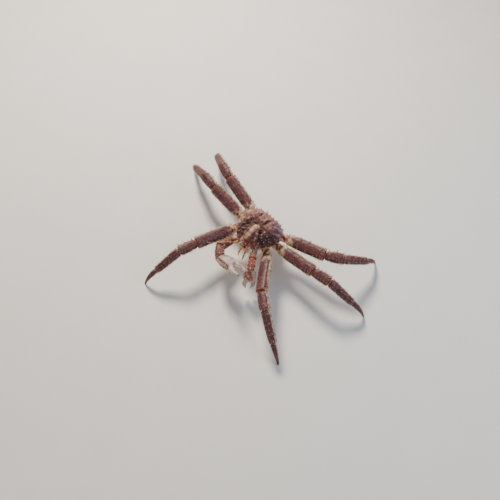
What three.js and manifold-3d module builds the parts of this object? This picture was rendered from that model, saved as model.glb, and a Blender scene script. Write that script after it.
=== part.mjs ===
// Red king crab, life size, standing on its six walking legs.
// Millimetres, +Z up. The crab faces -Y, its left side is +X, and its feet rest on Z = 0.
import * as THREE from 'three';
import Module from 'manifold-3d';
import { mergeVertices } from 'three/addons/utils/BufferGeometryUtils.js';

const wasm = await Module();
wasm.setup();

// Clearance kept between two pieces that touch.
const GAP = 0.3;

// Carapace: the cosine terms of its outline are the mean radius, the forward shift,
// the breadth and the pear shape. Heights are above the margin.
const MARGIN_HEIGHT = 138;
const OUTLINE_TERMS = [81, -2.4, -4, 7];
const ORBIT = { angle: 14, spread: 5, depth: 5 };
const DOME_HEIGHT = 48;
const DOME_FULLNESS = 2.6;
const DOME_SHOULDER = 0.8;
const RIM_DEPTH = 6;
const RIM_INSET = 0.94;
const CARAPACE_RINGS = [0.18, 0.34, 0.5, 0.64, 0.76, 0.86, 0.94, 1];
const CARAPACE_SIDES = 40;

// Raised regions and grooves of the carapace: place, spread and height, mirrored where across > 0.
const REGIONS = [
  { across: 0, back: -36, wide: 18, long: 26, height: 13 },
  { across: 0, back: 17, wide: 13, long: 13, height: 8 },
  { across: 42, back: 22, wide: 20, long: 28, height: 8 },
  { across: 27, back: -14, wide: 9, long: 17, height: -8 },
  { across: 0, back: -3, wide: 16, long: 6, height: -6 },
  { across: 20, back: 28, wide: 6, long: 18, height: -5 },
  { across: 0, back: 48, wide: 12, long: 9, height: -5 },
  { across: 46, back: -30, wide: 13, long: 13, height: 4 },
];

// Rows of spines on one half of the carapace, from the margin to the middle, in degrees from the front.
const CARAPACE_SPINES = [
  { rho: 0.97, from: 24, to: 173, count: 12, length: 13, radius: 4.4, lift: 0.4 },
  { rho: 0.86, from: 32, to: 168, count: 10, length: 9, radius: 3.8, lift: 0.9 },
  { rho: 0.7, from: 12, to: 165, count: 8, length: 10, radius: 4, lift: 1.4 },
  { rho: 0.52, from: 9, to: 168, count: 6, length: 10.5, radius: 4.2, lift: 2 },
  { rho: 0.31, from: 14, to: 150, count: 4, length: 10, radius: 4, lift: 3 },
];
const ROSTRUM = { length: 30, radius: 8, back: -68, above: 13, lift: 0.25 };

// Thorax under the carapace: depth below the margin and share of the outline.
const THORAX_LEVELS = [
  { depth: 16, share: 0.86 },
  { depth: 28, share: 0.84 },
  { depth: 42, share: 0.78 },
  { depth: 56, share: 0.6 },
  { depth: 66, share: 0.4 },
];
const THORAX_TOP_SHARE = 0.86;
const THORAX_SIDES = 32;

// Spines of the limbs: lean towards the tip, how much their lengths vary, and radius over length.
const SPINE_LEAN = 0.35;
const SPINE_VARIATION = 0.2;
const SPINE_STOUTNESS = 0.36;
const SPINE_FLARE = 1.1;
const SPINE_SINK = { share: 0.45, most: 3.5 };
const LIMB_SPINE_SIDES = 4;
const CARAPACE_SPINE_SIDES = 5;
const MERUS_SPINES = [
  { turn: 90, from: 0.12, to: 0.93, count: 8, length: 9 },
  { turn: 48, from: 0.22, to: 0.9, count: 5, length: 7 },
  { turn: 134, from: 0.18, to: 0.86, count: 5, length: 7 },
  { turn: -84, from: 0.2, to: 0.9, count: 6, length: 7 },
  { turn: 6, from: 0.3, to: 0.84, count: 3, length: 5.5 },
];
const CARPUS_SPINES = [
  { turn: 90, from: 0.2, to: 0.82, count: 3, length: 11 },
  { turn: 42, from: 0.32, to: 0.8, count: 2, length: 8.5 },
  { turn: 138, from: 0.3, to: 0.78, count: 2, length: 8.5 },
  { turn: -70, from: 0.4, to: 0.75, count: 2, length: 6 },
];
const PROPODUS_SPINES = [
  { turn: 90, from: 0.12, to: 0.86, count: 5, length: 8 },
  { turn: 38, from: 0.2, to: 0.8, count: 4, length: 7 },
  { turn: 142, from: 0.16, to: 0.76, count: 4, length: 7 },
  { turn: -40, from: 0.22, to: 0.78, count: 3, length: 6 },
  { turn: -125, from: 0.26, to: 0.8, count: 3, length: 6 },
];
const BASE_SPINES = [{ turn: 80, from: 0.62, to: 0.84, count: 2, length: 6 }];
const CLAW_MERUS_SPINES = [
  { turn: 90, from: 0.3, to: 0.86, count: 3, length: 10 },
  { turn: 45, from: 0.45, to: 0.85, count: 2, length: 8 },
  { turn: 136, from: 0.4, to: 0.8, count: 2, length: 8 },
];
const CLAW_CARPUS_SPINES = [
  { turn: 92, from: 0.18, to: 0.82, count: 3, length: 11 },
  { turn: 48, from: 0.25, to: 0.78, count: 3, length: 9 },
  { turn: 138, from: 0.22, to: 0.78, count: 3, length: 9 },
  { turn: 4, from: 0.35, to: 0.75, count: 2, length: 7 },
];
const PALM_SPINES = [
  { turn: 88, from: 0.15, to: 0.86, count: 4, length: 8 },
  { turn: 50, from: 0.2, to: 0.84, count: 4, length: 7 },
  { turn: 128, from: 0.18, to: 0.82, count: 4, length: 7 },
  { turn: 10, from: 0.3, to: 0.8, count: 2, length: 6 },
  { turn: 168, from: 0.3, to: 0.8, count: 2, length: 6 },
];

// Walking legs: lengths of the articles, half sizes of their sections and the level of their roots.
const LEG_LENGTHS = { coxa: 17, ischium: 22, merus: 156, carpus: 66, propodus: 116, dactylus: 92 };
const LEG_ROOT_DEPTH = 34;
const LEG_SIDES = 10;
const LEG_SQUARENESS = 0.86;
const LEG_ROLL = -55;
const FOOT_RADIUS = 2.6;

// Headings are degrees from straight ahead towards the leg's own side, pitches are degrees above level.
// The pitch of the merus is worked out so that the foot stands on the floor.
const LEG_PITCHES = { coxa: 2, ischium: 8, carpus: 2, propodus: -32, dactylus: -52 };
const LEGS = [
  { name: 'leg_right_1', side: -1, root: [51, -17], headings: [60, 38, 15, 15, 18, 24], size: 1 },
  { name: 'leg_right_2', side: -1, root: [57, 15], headings: [86, 88, 92, 98, 108, 118], size: 1 },
  { name: 'leg_right_3', side: -1, root: [50, 47], headings: [112, 107, 101, 108, 120, 136], size: 1.01 },
  { name: 'leg_left_1', side: 1, root: [51, -17], headings: [64, 50, 37, 54, 61, 66], size: 1 },
  { name: 'leg_left_2', side: 1, root: [57, 15], headings: [86, 89, 92, 98, 104, 110], size: 1 },
  { name: 'leg_left_3', side: 1, root: [50, 47], headings: [112, 107, 103, 120, 150, 164], size: 1.01 },
];

// Half sizes of the sections of each article, where t is the share of the way along it. The base has two
// parts, so its t runs to 2.
const BASE_STATIONS = [
  { t: 0, across: 12.5, above: 14.5, below: 14.5 },
  { t: 0.6, across: 13, above: 15.5, below: 15.5 },
  { t: 1.12, across: 11.5, above: 14, below: 14 },
  { t: 1.65, across: 12.5, above: 15.5, below: 15 },
  { t: 2, across: 11.5, above: 15, below: 14.5 },
];
const MERUS_STATIONS = [
  { t: 0, across: 11, above: 14, below: 14 },
  { t: 0.09, across: 14.5, above: 19.5, below: 18 },
  { t: 0.4, across: 17, above: 24, below: 21 },
  { t: 0.8, across: 17, above: 23, below: 20.5 },
  { t: 0.94, across: 17.5, above: 23, below: 20 },
  { t: 1, across: 15, above: 19, below: 17 },
];
const CARPUS_STATIONS = [
  { t: 0, across: 11, above: 13, below: 13 },
  { t: 0.2, across: 14.5, above: 19, below: 16 },
  { t: 0.55, across: 15.5, above: 21, below: 17.5 },
  { t: 0.86, across: 16, above: 20.5, below: 17.5 },
  { t: 1, across: 13.5, above: 16.5, below: 14.5 },
];
const PROPODUS_STATIONS = [
  { t: 0, across: 10, above: 12, below: 12 },
  { t: 0.12, across: 13.5, above: 18, below: 15 },
  { t: 0.5, across: 13, above: 16.5, below: 14.5 },
  { t: 0.9, across: 12, above: 14, below: 12.5 },
  { t: 1, across: 9.5, above: 11, below: 10.5 },
];
const DACTYLUS_STATIONS = [
  { t: 0, across: 7, above: 8, below: 8 },
  { t: 0.1, across: 9, above: 10.5, below: 9.5 },
  { t: 0.5, across: 6.8, above: 8, below: 7.2 },
  { t: 0.85, across: 3.8, above: 4.3, below: 4 },
  { t: 1, across: FOOT_RADIUS, above: FOOT_RADIUS, below: FOOT_RADIUS },
];
const DACTYLUS_BOW = 7;

// Claws: headings and pitches of base, merus, carpus and palm. The roll turns the broad faces of the
// hand, so that the inner face of the right one and the outer face of the left one look upwards.
const CLAW_LENGTHS = { base: 34, merus: 56, carpus: 42, palm: 58, finger: 52 };
const CLAW_BASE_SHARE = 0.9;
const CLAW_BASE_BEND = 0.45;
const CLAW_ROOT_DEPTH = 38;
const CLAWS = [
  {
    name: 'claw_right', side: -1, root: [33, -45], size: 1.08,
    headings: [28, 8, -46, -96], pitches: [4, 14, 2, 12], roll: 62, gape: 24,
  },
  {
    name: 'claw_left', side: 1, root: [33, -45], size: 0.88,
    headings: [30, 38, 36, 32], pitches: [4, 46, -14, -72], roll: 80, gape: 12,
  },
];

const CLAW_MERUS_STATIONS = [
  { t: 0, across: 10.5, above: 13, below: 13 },
  { t: 0.28, across: 13, above: 17, below: 15 },
  { t: 0.72, across: 15.5, above: 20, below: 17 },
  { t: 1, across: 13, above: 16, below: 15 },
];
const CLAW_CARPUS_STATIONS = [
  { t: 0, across: 10.5, above: 12.5, below: 12.5 },
  { t: 0.34, across: 15, above: 18.5, below: 16 },
  { t: 0.64, across: 16, above: 19, below: 17 },
  { t: 1, across: 12.5, above: 14.5, below: 14 },
];
const PALM_STATIONS = [
  { t: 0, across: 10.5, above: 12, below: 12 },
  { t: 0.3, across: 16, above: 22, below: 21 },
  { t: 0.7, across: 17.5, above: 25, below: 25 },
  { t: 1, across: 13.5, above: 20, below: 20.5 },
];
const FINGER = { rootAbove: 9.8, rootBelow: 10.4, across: 10, height: 9, tip: 2.2, hook: 7, sunk: 8 };
const FINGER_TAPER = [
  { t: 0, share: 1 },
  { t: 0.3, share: 0.95 },
  { t: 0.6, share: 0.78 },
  { t: 0.85, share: 0.5 },
  { t: 1, share: FINGER.tip / FINGER.height },
];

// Head: eyes, feelers and outer mouthparts, all rooted in the front of the thorax.
const EYE = {
  root: [8, -60], depth: 13, length: 24, heading: 10, pitch: 8,
  sections: [[0, 3], [0.45, 3], [0.62, 4.4], [0.8, 5], [0.94, 3.6], [1, 1.6]],
};
const ANTENNA = {
  root: [22, -58], depth: 17, peduncle: 34, width: 4, wrist: 2.6, heading: 6, pitch: 18,
  feeler: 118, feelerRadius: 1.3, tipRadius: 0.4, spread: 48, rise: 58, droop: -16,
};
const ANTENNULE = {
  root: [5, -61], depth: 23, length: 36, radius: 1.9, tipRadius: 0.5,
  heading: 6, spread: 12, pitch: -12, droop: -20,
};
const MAXILLIPED = {
  root: [9, -55], depth: 42, length: 62, radius: 6.5, heading: 4, pitch: -14, droop: -74,
  taper: 0.72, waist: 0.1,
};

// Abdomen: the flap folded forwards under the thorax, as places behind the middle and below the margin.
const ABDOMEN = [
  { back: 55, depth: 22, wide: 26, thick: 8 },
  { back: 69, depth: 28, wide: 30, thick: 7.5 },
  { back: 77, depth: 44, wide: 31, thick: 6.5 },
  { back: 70, depth: 63, wide: 30, thick: 5.5 },
  { back: 50, depth: 75, wide: 26, thick: 4.8 },
  { back: 20, depth: 75, wide: 20, thick: 4.4 },
  { back: -8, depth: 73, wide: 12, thick: 3.4 },
  { back: -20, depth: 72.5, wide: 6, thick: 2.6 },
];
const ABDOMEN_SIDES = 12;
const ABDOMEN_SQUARENESS = 0.8;

const UP = new THREE.Vector3(0, 0, 1);
const crab = new THREE.Group();

const radians = THREE.MathUtils.degToRad;
const mix = THREE.MathUtils.lerp;
const vec = (x, y, z) => new THREE.Vector3(x, y, z);

// A repeatable value between -1 and 1 that gives like pieces their small differences.
function vary(index, salt) {
  const wave = Math.sin(index * 12.9898 + salt * 78.233) * 43758.5453;
  return 2 * (wave - Math.floor(wave)) - 1;
}

// Unit direction of a limb on one side of the body.
function direction(side, heading, pitch) {
  const turn = radians(heading);
  const lift = radians(pitch);
  return vec(side * Math.sin(turn) * Math.cos(lift), -Math.cos(turn) * Math.cos(lift), Math.sin(lift));
}

// Direction across the limb and direction of its upper edge. Roll, in degrees, leans the upper edge
// over, which shows the broad face of the limb from above.
function sectionAxes(along, roll = 0) {
  const across = along.clone().cross(UP).normalize();
  const above = across.clone().cross(along).normalize();
  across.applyAxisAngle(along, radians(roll));
  above.applyAxisAngle(along, radians(roll));
  return { across, above };
}

// Point of a section at an angle, where 90 degrees is its upper edge.
function sectionOffset(axes, station, angle, squareness) {
  const c = Math.cos(angle);
  const s = Math.sin(angle);
  const height = s > 0 ? station.above : station.below;
  const x = station.across * Math.sign(c) * Math.abs(c) ** squareness;
  const y = height * Math.sign(s) * Math.abs(s) ** squareness;
  return axes.across.clone().multiplyScalar(x).addScaledVector(axes.above, y);
}

function scaled(station, size, at) {
  return { at, across: station.across * size, above: station.above * size, below: station.below * size };
}

function thickened(station, grow) {
  return { across: station.across + grow, above: station.above + grow, below: station.below + grow };
}

// Closed solid through rings of points that all have the same count, with a flat cap at each end.
function loft(rings) {
  const count = rings[0].length;
  const positions = rings.flat().flatMap((point) => point.toArray());
  const index = [];
  for (let row = 0; row + 1 < rings.length; row += 1) {
    for (let k = 0; k < count; k += 1) {
      const a = row * count + k;
      const b = row * count + ((k + 1) % count);
      index.push(a, b, a + count, b, b + count, a + count);
    }
  }
  const last = (rings.length - 1) * count;
  for (let k = 1; k + 1 < count; k += 1) {
    index.push(0, k + 1, k, last, last + k, last + k + 1);
  }
  return closed(positions, index);
}

// Solid from points and triangles, turned inside out where its faces point inwards.
function closed(positions, index) {
  let volume = 0;
  const corner = (i) => new THREE.Vector3().fromArray(positions, 3 * i);
  for (let k = 0; k < index.length; k += 3) {
    volume += corner(index[k]).dot(corner(index[k + 1]).cross(corner(index[k + 2])));
  }
  if (volume < 0) {
    index.reverse();
  }
  const geometry = new THREE.BufferGeometry();
  geometry.setAttribute('position', new THREE.Float32BufferAttribute(positions, 3));
  geometry.setIndex(index);
  const merged = mergeVertices(geometry, 1e-4);
  return new wasm.Manifold(new wasm.Mesh({
    numProp: 3,
    vertProperties: Float32Array.from(merged.attributes.position.array),
    triVerts: Uint32Array.from(merged.index.array),
  }));
}

// Rings of a limb through stations along its middle line. The end planes may be turned to meet a joint.
// A limb that bends through straight down is given its direction across.
function limbRings(stations, options = {}) {
  const { start, end, across, sides = LEG_SIDES, squareness = LEG_SQUARENESS } = options;
  const { roll = 0, grow = 0 } = options;
  const last = stations.length - 1;
  return stations.map((station, i) => {
    const before = stations[Math.max(i - 1, 0)].at;
    const after = stations[Math.min(i + 1, last)].at;
    const along = after.clone().sub(before).normalize();
    const axes = across ? { across, above: across.clone().cross(along) } : sectionAxes(along, roll);
    const grown = thickened(station, grow);
    const normal = (i === 0 && start) || (i === last && end);
    return Array.from({ length: sides }, (_, k) => {
      const offset = sectionOffset(axes, grown, ((k + 0.5) / sides) * 2 * Math.PI, squareness);
      if (normal) {
        offset.addScaledVector(along, -offset.dot(normal) / along.dot(normal));
      }
      return offset.add(station.at);
    });
  });
}

const limb = (stations, options) => loft(limbRings(stations, options));

// Point on the side of a limb: share is the way along it, turn is the angle round it in degrees.
function limbPoint(rings, share, turn) {
  const row = Math.min(Math.floor(share * (rings.length - 1)), rings.length - 2);
  const sides = rings[0].length;
  const place = (((turn / 360) * sides - 0.5) + sides) % sides;
  const k = Math.floor(place);
  const onRing = (ring) => ring[k].clone().lerp(ring[(k + 1) % sides], place - k);
  return onRing(rings[row]).lerp(onRing(rings[row + 1]), share * (rings.length - 1) - row);
}

// One row of spines along a limb. Front is 0 degrees, the upper edge 90 and the rear 180 on either side.
function spineRow(rings, side, row, salt) {
  return Array.from({ length: row.count }, (_, i) => {
    const spread = row.count > 1 ? i / (row.count - 1) : 0.5;
    const share = mix(row.from, row.to, spread) + 0.015 * vary(i, salt + row.turn);
    const turn = row.turn + 5 * vary(i + 31, salt + row.turn);
    const round = side > 0 ? turn : 180 - turn;
    const base = limbPoint(rings, share, round);
    const behind = limbPoint(rings, share - 0.05, round);
    const along = limbPoint(rings, share + 0.05, round).sub(behind).normalize();
    const tangent = limbPoint(rings, share, round + 20).sub(limbPoint(rings, share, round - 20));
    const outward = along.clone().cross(tangent).normalize();
    const inside = limbPoint(rings, share, round + 180);
    if (outward.dot(base.clone().sub(inside)) < 0) {
      outward.negate();
    }
    const lean = outward.addScaledVector(along, row.lean ?? SPINE_LEAN).normalize();
    const length = row.length * (1 + SPINE_VARIATION * vary(i + 57, salt + row.turn));
    return spine(base, lean, length, SPINE_STOUTNESS * row.length, vary(i, salt), LIMB_SPINE_SIDES);
  });
}

// Limb with its rows of spines, as one closed body.
function spinyLimb(stations, options, rows, side, salt) {
  const rings = limbRings(stations, options);
  return fuse(loft(rings), rows.flatMap((row) => spineRow(rings, side, row, salt)));
}

// Cone of few sides with its root sunk below the surface that it stands on.
function spine(base, along, length, radius, turn, sides) {
  const sink = Math.min(SPINE_SINK.most, SPINE_SINK.share * length);
  const axes = sectionAxes(along);
  const root = base.clone().addScaledVector(along, -sink);
  const ring = Array.from({ length: sides }, (_, k) => {
    const angle = ((k + 0.5 * turn) / sides) * 2 * Math.PI;
    const offset = axes.across.clone().multiplyScalar(Math.cos(angle));
    offset.addScaledVector(axes.above, Math.sin(angle)).multiplyScalar(SPINE_FLARE * radius);
    return offset.add(root);
  });
  const tip = base.clone().addScaledVector(along, length);
  const positions = [...ring, tip].flatMap((point) => point.toArray());
  const index = [];
  for (let k = 0; k < sides; k += 1) {
    index.push(k, (k + 1) % sides, sides);
  }
  for (let k = 1; k + 1 < sides; k += 1) {
    index.push(0, k + 1, k);
  }
  return closed(positions, index);
}

// Largest closed body of a solid.
function largest(solid) {
  return solid.decompose().reduce((best, part) => (part.volume() > best.volume() ? part : best));
}

function fuse(body, pieces) {
  return largest(pieces.reduce((whole, piece) => whole.add(piece), body));
}

function addMesh(name, solid, material) {
  const mesh = solid.getMesh();
  const geometry = new THREE.BufferGeometry();
  geometry.setAttribute('position', new THREE.BufferAttribute(mesh.vertProperties, 3));
  geometry.setIndex(new THREE.BufferAttribute(mesh.triVerts, 1));
  geometry.computeVertexNormals();
  const node = new THREE.Mesh(geometry, material);
  node.name = name;
  crab.add(node);
}

const finish = (color, roughness) => new THREE.MeshStandardMaterial({ color, roughness, metalness: 0 });
const finishes = {
  carapace: () => finish('#8d5a57', 0.5),
  limb: () => finish('#7d4b52', 0.5),
  pale: () => finish('#c9a98c', 0.55),
  feeler: () => finish('#b9825c', 0.5),
  eye: () => finish('#1d1412', 0.2),
};

// Carapace outline, dome and regions.
function outlineRadius(angle) {
  const wrapped = Math.abs(Math.atan2(Math.sin(angle), Math.cos(angle)));
  const smooth = OUTLINE_TERMS.reduce((sum, term, k) => sum + term * Math.cos(k * wrapped), 0);
  const away = (wrapped - radians(ORBIT.angle)) / radians(ORBIT.spread);
  return smooth - ORBIT.depth * Math.exp(-away * away);
}

function carapacePoint(angle, rho) {
  const radius = rho * outlineRadius(angle);
  const x = radius * Math.sin(angle);
  const y = -radius * Math.cos(angle);
  const dome = DOME_HEIGHT * (1 - rho ** DOME_FULLNESS) ** DOME_SHOULDER;
  const relief = REGIONS.reduce((sum, region) => {
    const u = (Math.abs(x) - region.across) / region.wide;
    const v = (y - region.back) / region.long;
    return sum + region.height * Math.exp(-u * u - v * v);
  }, 0);
  return vec(x, y, MARGIN_HEIGHT + dome + relief * (1 - rho ** 6));
}

function outlineRing(share, height, sides) {
  return Array.from({ length: sides }, (_, k) => {
    const angle = (k / sides) * 2 * Math.PI;
    const radius = share * outlineRadius(angle);
    return vec(radius * Math.sin(angle), -radius * Math.cos(angle), height);
  });
}

function carapaceBody() {
  const sides = CARAPACE_SIDES;
  const rings = CARAPACE_RINGS.map((rho) => (
    Array.from({ length: sides }, (_, k) => carapacePoint((k / sides) * 2 * Math.PI, rho))
  ));
  rings.push(outlineRing(RIM_INSET, MARGIN_HEIGHT - RIM_DEPTH, sides));
  const crown = carapacePoint(0, 0);
  const positions = [...rings.flat(), crown].flatMap((point) => point.toArray());
  const index = [];
  for (let row = 0; row + 1 < rings.length; row += 1) {
    for (let k = 0; k < sides; k += 1) {
      const a = row * sides + k;
      const b = row * sides + ((k + 1) % sides);
      index.push(a, a + sides, b, b, a + sides, b + sides);
    }
  }
  const middle = rings.length * sides;
  const rim = (rings.length - 1) * sides;
  for (let k = 0; k < sides; k += 1) {
    index.push(k, (k + 1) % sides, middle);
  }
  for (let k = 1; k + 1 < sides; k += 1) {
    index.push(rim, rim + k + 1, rim + k);
  }
  return closed(positions, index);
}

function rostrumSolid() {
  const base = vec(0, ROSTRUM.back, MARGIN_HEIGHT + ROSTRUM.above);
  return spine(base, vec(0, -1, ROSTRUM.lift).normalize(), ROSTRUM.length, ROSTRUM.radius, 0, 6);
}

// Spines of both halves of the carapace, which match each other but for small differences.
function carapaceSpines() {
  return [-1, 1].flatMap((side) => CARAPACE_SPINES.flatMap((row) => (
    Array.from({ length: row.count }, (_, i) => {
      const salt = row.rho + 0.1 * side;
      const turn = mix(row.from, row.to, i / (row.count - 1)) + 2.5 * vary(i, salt);
      const angle = side * radians(turn);
      const base = carapacePoint(angle, row.rho + 0.012 * vary(i + 19, salt));
      const along = vec(Math.sin(angle), -Math.cos(angle), row.lift).normalize();
      const length = row.length * (1 + SPINE_VARIATION * vary(i + 43, salt));
      return spine(base, along, length, row.radius, vary(i, salt), CARAPACE_SPINE_SIDES);
    })
  )));
}

// Walking legs.

// Middle line of an article between two joints, bowed towards its upper edge.
function articleStations(from, to, profile, size, roll = 0, bow = 0) {
  const along = to.clone().sub(from).normalize();
  const { above } = sectionAxes(along, roll);
  return profile.map((station) => {
    const rise = 4 * bow * station.t * (1 - station.t);
    return scaled(station, size, from.clone().lerp(to, station.t).addScaledVector(above, rise));
  });
}

// Joint plane between two articles, and the same plane moved by half of the clearance.
function jointNormal(before, after) {
  return before.clone().add(after).normalize();
}

function halfGap(point, normal, along, sign) {
  return point.clone().addScaledVector(along, (sign * GAP) / 2 / along.dot(normal));
}

function articleFrame(from, to, startNormal, endNormal, profile, size, roll = 0) {
  const along = to.clone().sub(from).normalize();
  const first = halfGap(from, startNormal, along, 1);
  const final = halfGap(to, endNormal, along, -1);
  const stations = articleStations(first, final, profile, size);
  return [stations, { start: startNormal, end: endNormal, roll }];
}

// Places of the joints of a leg, from its root to its foot, for one pitch of the merus.
function legJoints(leg, merusPitch) {
  const names = Object.keys(LEG_LENGTHS);
  const points = [vec(leg.side * leg.root[0], leg.root[1], MARGIN_HEIGHT - LEG_ROOT_DEPTH)];
  names.forEach((name, i) => {
    const pitch = name === 'merus' ? merusPitch : LEG_PITCHES[name];
    const along = direction(leg.side, leg.headings[i], pitch);
    points.push(points[i].clone().addScaledVector(along, LEG_LENGTHS[name] * leg.size));
  });
  return points;
}

function standingJoints(leg) {
  let low = -30;
  let high = 70;
  for (let step = 0; step < 40; step += 1) {
    const middle = (low + high) / 2;
    if (legJoints(leg, middle)[6].z > 0) {
      high = middle;
    } else {
      low = middle;
    }
  }
  return legJoints(leg, (low + high) / 2);
}

// Coxa and ischium as one curved solid. Grown, it is the room that it takes out of the thorax.
function baseFrame(points, endNormal, size, roll = 0, grow = 0) {
  const [root, knee, end] = points;
  const first = knee.clone().sub(root).normalize();
  const second = end.clone().sub(knee).normalize();
  const tip = halfGap(end, endNormal, second, -1);
  const stations = BASE_STATIONS.map((station, i) => {
    const at = station.t < 1 ? root.clone().lerp(knee, station.t) : knee.clone().lerp(tip, station.t - 1);
    return scaled(station, size, i === 0 ? at.addScaledVector(first, -grow) : at);
  });
  return [stations, { start: first, end: endNormal, roll, grow }];
}

// Foot: the last article, bowed, ending in a small flat on the floor.
function dactylus(from, foot, startNormal, size, roll) {
  const along = foot.clone().sub(from).normalize();
  const first = halfGap(from, startNormal, along, 1);
  const stations = articleStations(first, foot, DACTYLUS_STATIONS, size, 0, DACTYLUS_BOW);
  return limb(stations, { start: startNormal, end: vec(0, 0, -1), roll });
}

const roomForLimbs = [];

function buildLeg(leg, number) {
  const { side, size } = leg;
  const points = standingJoints(leg);
  const along = points.slice(1).map((point, i) => point.clone().sub(points[i]).normalize());
  const [, hip, knee, wrist, ankle] = along.slice(1).map((next, i) => jointNormal(along[i], next));
  const base = points.slice(0, 3);
  const roll = side * LEG_ROLL;
  const frames = {
    base: baseFrame(base, hip, size, roll),
    merus: articleFrame(points[2], points[3], hip, knee, MERUS_STATIONS, size, roll),
    carpus: articleFrame(points[3], points[4], knee, wrist, CARPUS_STATIONS, size, roll),
    propodus: articleFrame(points[4], points[5], wrist, ankle, PROPODUS_STATIONS, size, roll),
  };
  const rows = {
    base: BASE_SPINES,
    merus: MERUS_SPINES,
    carpus: CARPUS_SPINES,
    propodus: PROPODUS_SPINES,
  };
  Object.entries(frames).forEach(([part, frame], i) => {
    const solid = spinyLimb(...frame, rows[part], side, 10 * number + i);
    addMesh(`${leg.name}_${part}`, solid, finishes.limb());
  });
  addMesh(`${leg.name}_dactylus`, dactylus(points[5], points[6], ankle, size, roll), finishes.limb());
  roomForLimbs.push(limb(...baseFrame(base, hip, size, roll, GAP)));
}

// Claws.

// One finger of a claw, from the end of the palm to its hooked tip. Lean is the angle that opens it.
function fingerStations(root, along, above, length, lean, sign, size) {
  const out = along.clone().multiplyScalar(Math.cos(lean)).addScaledVector(above, sign * Math.sin(lean));
  const bow = above.clone().multiplyScalar(sign);
  return FINGER_TAPER.map(({ t, share }) => {
    const arch = FINGER.hook * size * (Math.sin(Math.PI * Math.min(t * 1.1, 1)) - 0.7 * t * t);
    const at = root.clone().addScaledVector(out, length * t).addScaledVector(bow, arch);
    const height = FINGER.height * share;
    return scaled({ across: FINGER.across * share, above: height, below: height }, size, at);
  });
}

function buildClaw(claw) {
  const { side, size, headings, pitches } = claw;
  const lengths = [CLAW_LENGTHS.base, CLAW_LENGTHS.merus, CLAW_LENGTHS.carpus, CLAW_LENGTHS.palm];
  const points = [vec(side * claw.root[0], claw.root[1], MARGIN_HEIGHT - CLAW_ROOT_DEPTH)];
  const along = headings.map((heading, i) => direction(side, heading, pitches[i]));
  along.forEach((step, i) => points.push(points[i].clone().addScaledVector(step, lengths[i] * size)));
  const [shoulder, elbow, wrist] = along.slice(1).map((next, i) => jointNormal(along[i], next));
  const base = [points[0], points[0].clone().lerp(points[1], CLAW_BASE_BEND), points[1]];
  const baseSize = size * CLAW_BASE_SHARE;
  roomForLimbs.push(limb(...baseFrame(base, shoulder, baseSize, 0, GAP)));
  addMesh(`${claw.name}_base`, limb(...baseFrame(base, shoulder, baseSize)), finishes.limb());
  const upper = articleFrame(points[1], points[2], shoulder, elbow, CLAW_MERUS_STATIONS, size);
  const lower = articleFrame(points[2], points[3], elbow, wrist, CLAW_CARPUS_STATIONS, size);
  addMesh(`${claw.name}_merus`, spinyLimb(...upper, CLAW_MERUS_SPINES, side, 70), finishes.limb());
  addMesh(`${claw.name}_carpus`, spinyLimb(...lower, CLAW_CARPUS_SPINES, side, 71), finishes.limb());
  const reach = along[3];
  const { across, above } = sectionAxes(reach, claw.roll);
  const gape = radians(claw.gape);
  const length = CLAW_LENGTHS.finger * size;
  const hand = articleFrame(points[3], points[4], wrist, reach, PALM_STATIONS, size, claw.roll);
  const palm = spinyLimb(...hand, PALM_SPINES, side, 72);
  const fixedRoot = points[4].clone().addScaledVector(above, -FINGER.rootBelow * size);
  fixedRoot.addScaledVector(reach, -FINGER.sunk);
  const fixed = limb(
    fingerStations(fixedRoot, reach, above, length + FINGER.sunk, 0, -1, size),
    { start: reach, across },
  );
  addMesh(`${claw.name}_palm`, fuse(palm, [fixed]), finishes.limb());
  const fingerRoot = points[4].clone().addScaledVector(above, FINGER.rootAbove * size);
  fingerRoot.addScaledVector(reach, GAP / 2);
  const finger = limb(
    fingerStations(fingerRoot, reach, above, length, gape, 1, size),
    { start: reach, across },
  );
  addMesh(`${claw.name}_finger`, finger, finishes.limb());
}

// Head.
function headRoot(part, side) {
  return vec(side * part.root[0], part.root[1], MARGIN_HEIGHT - part.depth);
}

// Stations on a line whose heading and pitch turn evenly from the first to the last value.
function curvedStations(root, side, length, steps, heading, pitch, radiusAt) {
  const at = root.clone();
  const stations = [];
  for (let i = 0; i <= steps; i += 1) {
    const t = i / steps;
    const radius = radiusAt(t);
    stations.push({ at: at.clone(), across: radius, above: radius, below: radius });
    const turn = mix(heading[0], heading[1], (i + 0.5) / steps);
    const lift = mix(pitch[0], pitch[1], (i + 0.5) / steps);
    at.addScaledVector(direction(side, turn, lift), length / steps);
  }
  return stations;
}

function backedUp(stations, grow) {
  const along = stations[1].at.clone().sub(stations[0].at).normalize();
  const first = { ...stations[0], at: stations[0].at.clone().addScaledVector(along, -grow) };
  return [first, ...stations.slice(1)];
}

function addHeadPiece(name, stations, options, material) {
  roomForLimbs.push(limb(backedUp(stations, GAP), { ...options, grow: GAP }));
  addMesh(name, limb(stations, options), material);
}

// Half width of an outer mouthpart, which tapers and has a waist at each of its joints.
function maxillipedRadius(t) {
  const taper = 1 - MAXILLIPED.taper * t;
  return MAXILLIPED.radius * taper * (1 + MAXILLIPED.waist * Math.cos(6 * Math.PI * t));
}

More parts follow.
